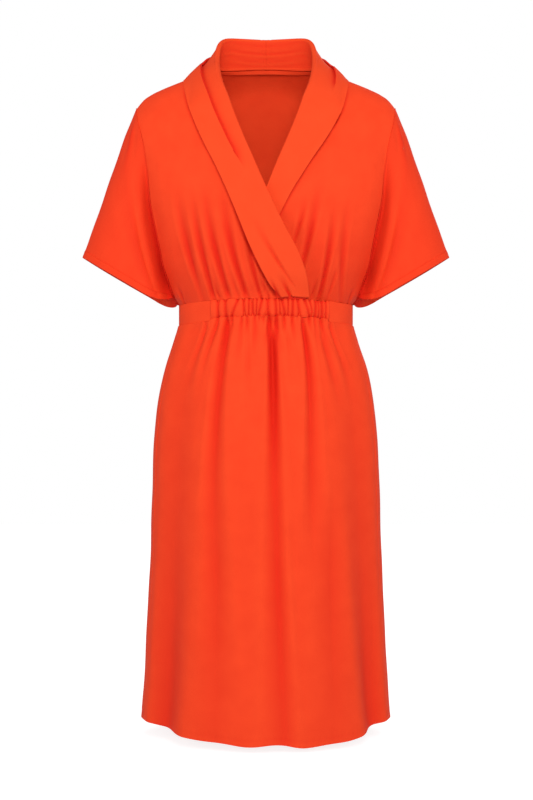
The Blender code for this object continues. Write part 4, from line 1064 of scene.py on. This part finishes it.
def skirt(facing):
    """The front (1) or the back (-1) of the skirt, from the waistband to the hem.

    Its points lie on the rings at their angle and height, less its creases and gathers, along the way
    out from the rings. The hem is a second layer turned up inside, held by a row of stitches.
    """
    front = facing > 0
    angle = half_turn(facing, shares(SKIRT_FRONT_COLUMNS if front else SKIRT_BACK_COLUMNS, 0.45))
    share = (shares(SKIRT_FRONT_ROWS if front else SKIRT_BACK_ROWS, 0.66)**1.08)[:, None]
    ring_x = WAIST_HALF_WIDTH * np.sin(angle)
    top = waist_height(ring_x) - BAND_HEIGHT - SEAM - BAND_SIDE_EXTRA * np.sin(angle)**2
    top = top + low_edge(ring_x, front)
    degrees = np.degrees(angle) if front else 180 - np.degrees(angle)
    from_centre = np.abs(degrees) if front else 180 - np.abs(degrees)
    from_side_seam = np.abs(from_centre - math.degrees(SIDE_SEAM))
    towards_side = np.abs(np.sin(angle)) / math.sin(SIDE_SEAM)
    hem = HEM_SIDE - (HEM_FRONT_DROP if front else HEM_BACK_DROP) * (1 - towards_side**3)
    lift = HEM_SIDE_LIFT * (1 - 0.5 * front * step(from_side_seam / 14))
    hem = hem + lift * step((from_centre - 38) / 16) * step((92 - from_centre) / 18)
    if front:
        hem = hem - HEM_FRONT_SLANT * np.sin(math.pi * angle / SIDE_SEAM)
        hem = hem + HEM_WAVE * np.cos(np.radians(degrees - 4.4) * 12.8) * bump(degrees - 4.4, 38)
    z = mix(top, hem, share)
    below, from_hem = np.maximum(top - z, 0.0), z - hem
    half_width = smooth(SKIRT, "half_width", z)
    depth = smooth(SKIRT, "front_depth" if front else "back_depth", z)
    out = unit(grid(np.sin(angle) / half_width, -np.cos(angle) / depth, 0))
    sink = creases(SKIRT_FRONT_CREASES if front else SKIRT_BACK_CREASES, degrees, z)
    gathers = gather_depth(FRONT_GATHERS if front else BACK_GATHERS, ring_x, below)
    # The depth that sets the painted shade: the creases, four times the gathers, the hem's stitch groove, and
    # later a share of the side folds.
    shade_depth = sink + 4.0 * gathers + 0.008 * bump(from_hem - HEM_WIDTH, 0.0018)
    sink = held(sink + 1.9 * gathers, edge_dip(ring_x, 1.0, front), below)
    sink = sink - above_casing(ring_x, waist_height(ring_x) + below, front)
    uneven = SKIRT_SWELL * swell(degrees * 0.0026, z, 0.11, 2.0 + facing) * step(below / 0.05)
    sink = sink - uneven * step(from_side_seam / 6)
    sink = sink - hem_relief(degrees * 0.0029, from_hem, 0.0083, 1.3, 43, 0.00026, 0.0005)
    if front:
        side_fold = side_folds(degrees, share) * step(from_side_seam / 9)
        sink, shade_depth = sink + side_fold, shade_depth + 0.35 * side_fold
    points = grid(half_width * np.sin(angle), -depth * np.cos(angle), z) + (CASING - sink)[..., None] * out
    # Painted shade: darker in the troughs and towards the hem.
    painted_shade = shade_depth / SKIRT_SHADE_DEPTH + 0.12 * step(share / 0.6)
    ends = laid_under(SEAM_ALLOWANCE) if front else turned_under(SEAM_ALLOWANCE)
    return with_edges(points, painted_shade, top=laid_under(SEAM_ALLOWANCE), left=ends, right=ends,
                      bottom=turned_under(HEM_WIDTH))


# ---- materials ----
def linear(code):
    """The linear colour of an sRGB hex value."""
    parts = [int(code[i:i + 2], 16) / 255 for i in (1, 3, 5)]
    return [p / 12.92 if p <= 0.04045 else ((p + 0.055) / 1.055)**2.4 for p in parts] + [1.0]


def node(tree, kind, settings=None, links=None):
    """Adds a node: its settings by attribute or input name, and its inputs' links."""
    new = tree.nodes.new(kind)
    for name, value in (settings or {}).items():
        if name in new.inputs and not hasattr(type(new), name):
            new.inputs[name].default_value = value
        else:
            setattr(new, name, value)
    for name, source in (links or {}).items():
        tree.links.new(source, new.inputs[name])
    return new


def crepe_material(name, light, dark, grain_height):
    """Viscose crepe, woven from hard-twisted yarn and piece-dyed: matt, with a fine pebbled grain.

    The twisted yarns curl, so the face scatters light and shows only a faint sheen at its edges. The
    real pebbles are about 0.5 mm across, too fine to be seen from where a whole dress fits the view:
    the grain is drawn twice as coarse, at about 1.1 mm, and the dye's soft clouds at 30 mm. Where the
    cloth's painted shade attribute says so, the colour is mixed towards a darker red as painted shade.
    """
    material = bpy.data.materials.new(name)
    material.use_nodes = True
    tree = material.node_tree
    tree.nodes.clear()
    uv = node(tree, "ShaderNodeUVMap", {"uv_map": "cloth"}).outputs["UV"]
    cloudy = node(tree, "ShaderNodeTexNoise", {"Scale": 30.0, "Detail": 3.0}, {"Vector": uv}).outputs["Fac"]
    grain = node(tree, "ShaderNodeTexNoise", {"Scale": 900.0, "Detail": 2.0}, {"Vector": uv}).outputs["Fac"]
    tone = node(tree, "ShaderNodeMath", {"operation": "MULTIPLY_ADD"}, {0: cloudy, 2: grain})
    tone.inputs[1].default_value = 0.5
    plain = node(tree, "ShaderNodeValToRGB", {}, {"Fac": tone.outputs["Value"]})
    plain.color_ramp.elements[0].position, plain.color_ramp.elements[0].color = 0.45, linear(dark)
    plain.color_ramp.elements[1].position, plain.color_ramp.elements[1].color = 1.05, linear(light)
    # Painted shade: the colour is mixed towards the darker red as far as the cloth's painted shade attribute
    # says.
    shade_share = node(tree, "ShaderNodeAttribute", {"attribute_name": "painted_shade"}).outputs["Fac"]
    colour = node(tree, "ShaderNodeMix", {"data_type": "RGBA"}, {"Factor": shade_share})
    tree.links.new(plain.outputs["Color"], colour.inputs["A"])
    colour.inputs["B"].default_value = linear(PAINTED_SHADE_COLOUR)
    colour = [socket for socket in colour.outputs if socket.type == "RGBA"][0]
    pebble = node(tree, "ShaderNodeBump", {"Strength": 1.0, "Distance": grain_height}, {"Height": grain})
    shader = node(tree, "ShaderNodeBsdfPrincipled", {"Roughness": 0.85, "Specular IOR Level": 0.12},
                  {"Base Color": colour, "Normal": pebble.outputs["Normal"]})
    node(tree, "ShaderNodeOutputMaterial", {}, {"Surface": shader.outputs["BSDF"]})
    return material


PAINTED_SHADE_COLOUR = "#DA240E"  # painted shade: the darker colour laid on the cloth in folds, grooves and hollows, under the collar and where less light falls
crepe = crepe_material("viscose_crepe", "#EE451E", "#E23917", 0.00012)
# The collar's copy of the crepe has its colours set a little apart from the body's for how the light falls on
# the collar: painted light and shade in its colour. Its grain is finer.
collar_crepe = crepe_material("interlined_viscose_crepe", "#E9471F", "#E44019", 0.00008)

# ---- the dress ----
front_right = cloth("front_right_crepe", *front_panel(-1), CREPE, crepe, node="front_right")
front_left = cloth("front_left_crepe", *front_panel(1), CREPE, crepe, node="front_left")
back_bodice = cloth("back_bodice_crepe", *back_panel(), CREPE, crepe, node="back_bodice")
sleeve_right = cloth("sleeve_right_crepe", *sleeve(-1), CREPE, crepe, closed=True, node="sleeve_right")
sleeve_left = cloth("sleeve_left_crepe", *sleeve(1), CREPE, crepe, closed=True, node="sleeve_left")
collar_right = cloth("collar_right_crepe", *collar_half(-1), COLLAR_CREPE, collar_crepe, node="collar_right")
collar_left = cloth("collar_left_crepe", *collar_half(1), COLLAR_CREPE, collar_crepe, node="collar_left")
band_front = cloth("waistband_front_crepe", *waistband(1), CREPE, crepe, node="waistband_front")
band_back = cloth("waistband_back_crepe", *waistband(-1), CREPE, crepe, node="waistband_back")
skirt_front = cloth("skirt_front_crepe", *skirt(1), CREPE, crepe, node="skirt_front")
skirt_back = cloth("skirt_back_crepe", *skirt(-1), CREPE, crepe, node="skirt_back")
tape = cloth("neck_tape_crepe", *neck_tape(), 0.0008, crepe, node="neck_tape")

# ---- floor, light and camera ----
scene = bpy.context.scene
floor_mesh = bpy.data.meshes.new("floor")
far = FLOOR_HALF_SIZE
corners = [(-far, -far, FLOOR_Z), (far, -far, FLOOR_Z), (far, far, FLOOR_Z), (-far, far, FLOOR_Z)]
floor_mesh.from_pydata(corners, [], [(0, 1, 2, 3)])
floor = bpy.data.objects.new("floor", floor_mesh)
scene.collection.objects.link(floor)
paper = bpy.data.materials.new("white_paper")
paper.use_nodes = True
gloss = paper.node_tree.nodes["Principled BSDF"]
gloss.inputs["Base Color"].default_value = linear("#A0A0A0")
gloss.inputs["Roughness"].default_value = 0.9
gloss.inputs["Emission Color"].default_value = (1, 1, 1, 1)
gloss.inputs["Emission Strength"].default_value = 0.83
floor_mesh.materials.append(paper)
floor.visible_diffuse = False

world = bpy.data.worlds.new("studio")
world.use_nodes = True
world.node_tree.nodes.clear()
seen = node(world.node_tree, "ShaderNodeLightPath").outputs["Is Camera Ray"]
glow = node(world.node_tree, "ShaderNodeMapRange", {"To Min": WORLD_LIGHT, "To Max": 1.0}, {"Value": seen})
surround = node(world.node_tree, "ShaderNodeBackground", {"Color": (1, 1, 1, 1)},
                {"Strength": glow.outputs["Result"]})
node(world.node_tree, "ShaderNodeOutputWorld", {}, {"Surface": surround.outputs["Background"]})
scene.world = world


def softbox(name, place, aim, width, height, power):
    """A rectangular area light that faces a point."""
    light = bpy.data.lights.new(name, "AREA")
    light.shape, light.size, light.size_y, light.energy = "RECTANGLE", width, height, power
    lamp = bpy.data.objects.new(name, light)
    lamp.location = place
    way = np.array(aim, dtype=float) - np.array(place, dtype=float)
    lamp.rotation_euler = (math.atan2(math.hypot(way[0], way[1]), -way[2]), 0, math.atan2(-way[0], way[1]))
    scene.collection.objects.link(lamp)


softbox("key_softbox", (0.3, -2.8, 1.0), (0, 0, -0.35), 1.2, 1.0, 40)
softbox("front_softbox", (-0.1, -3.4, 0.0), (0, 0, -0.45), 1.0, 1.2, 29)
softbox("right_softbox", (-2.4, -1.6, 0.0), (0, 0, -0.6), 1.4, 1.8, 22)
softbox("left_softbox", (2.4, -1.6, 0.0), (0, 0, -0.6), 1.4, 1.8, 20)
softbox("back_softbox", (0.8, 2.8, 1.0), (0, 0, -0.5), 1.6, 1.4, 44)

camera = bpy.data.cameras.new("camera")
camera.sensor_fit, camera.sensor_height, camera.sensor_width, camera.lens = "VERTICAL", 36, 36, 65.45
camera_object = bpy.data.objects.new("camera", camera)
camera_object.location = (0.001, -2.4, -0.546)
camera_object.rotation_euler = (math.pi / 2, 0, 0)
scene.collection.objects.link(camera_object)
scene.camera = camera_object
scene.view_settings.view_transform = "Standard"
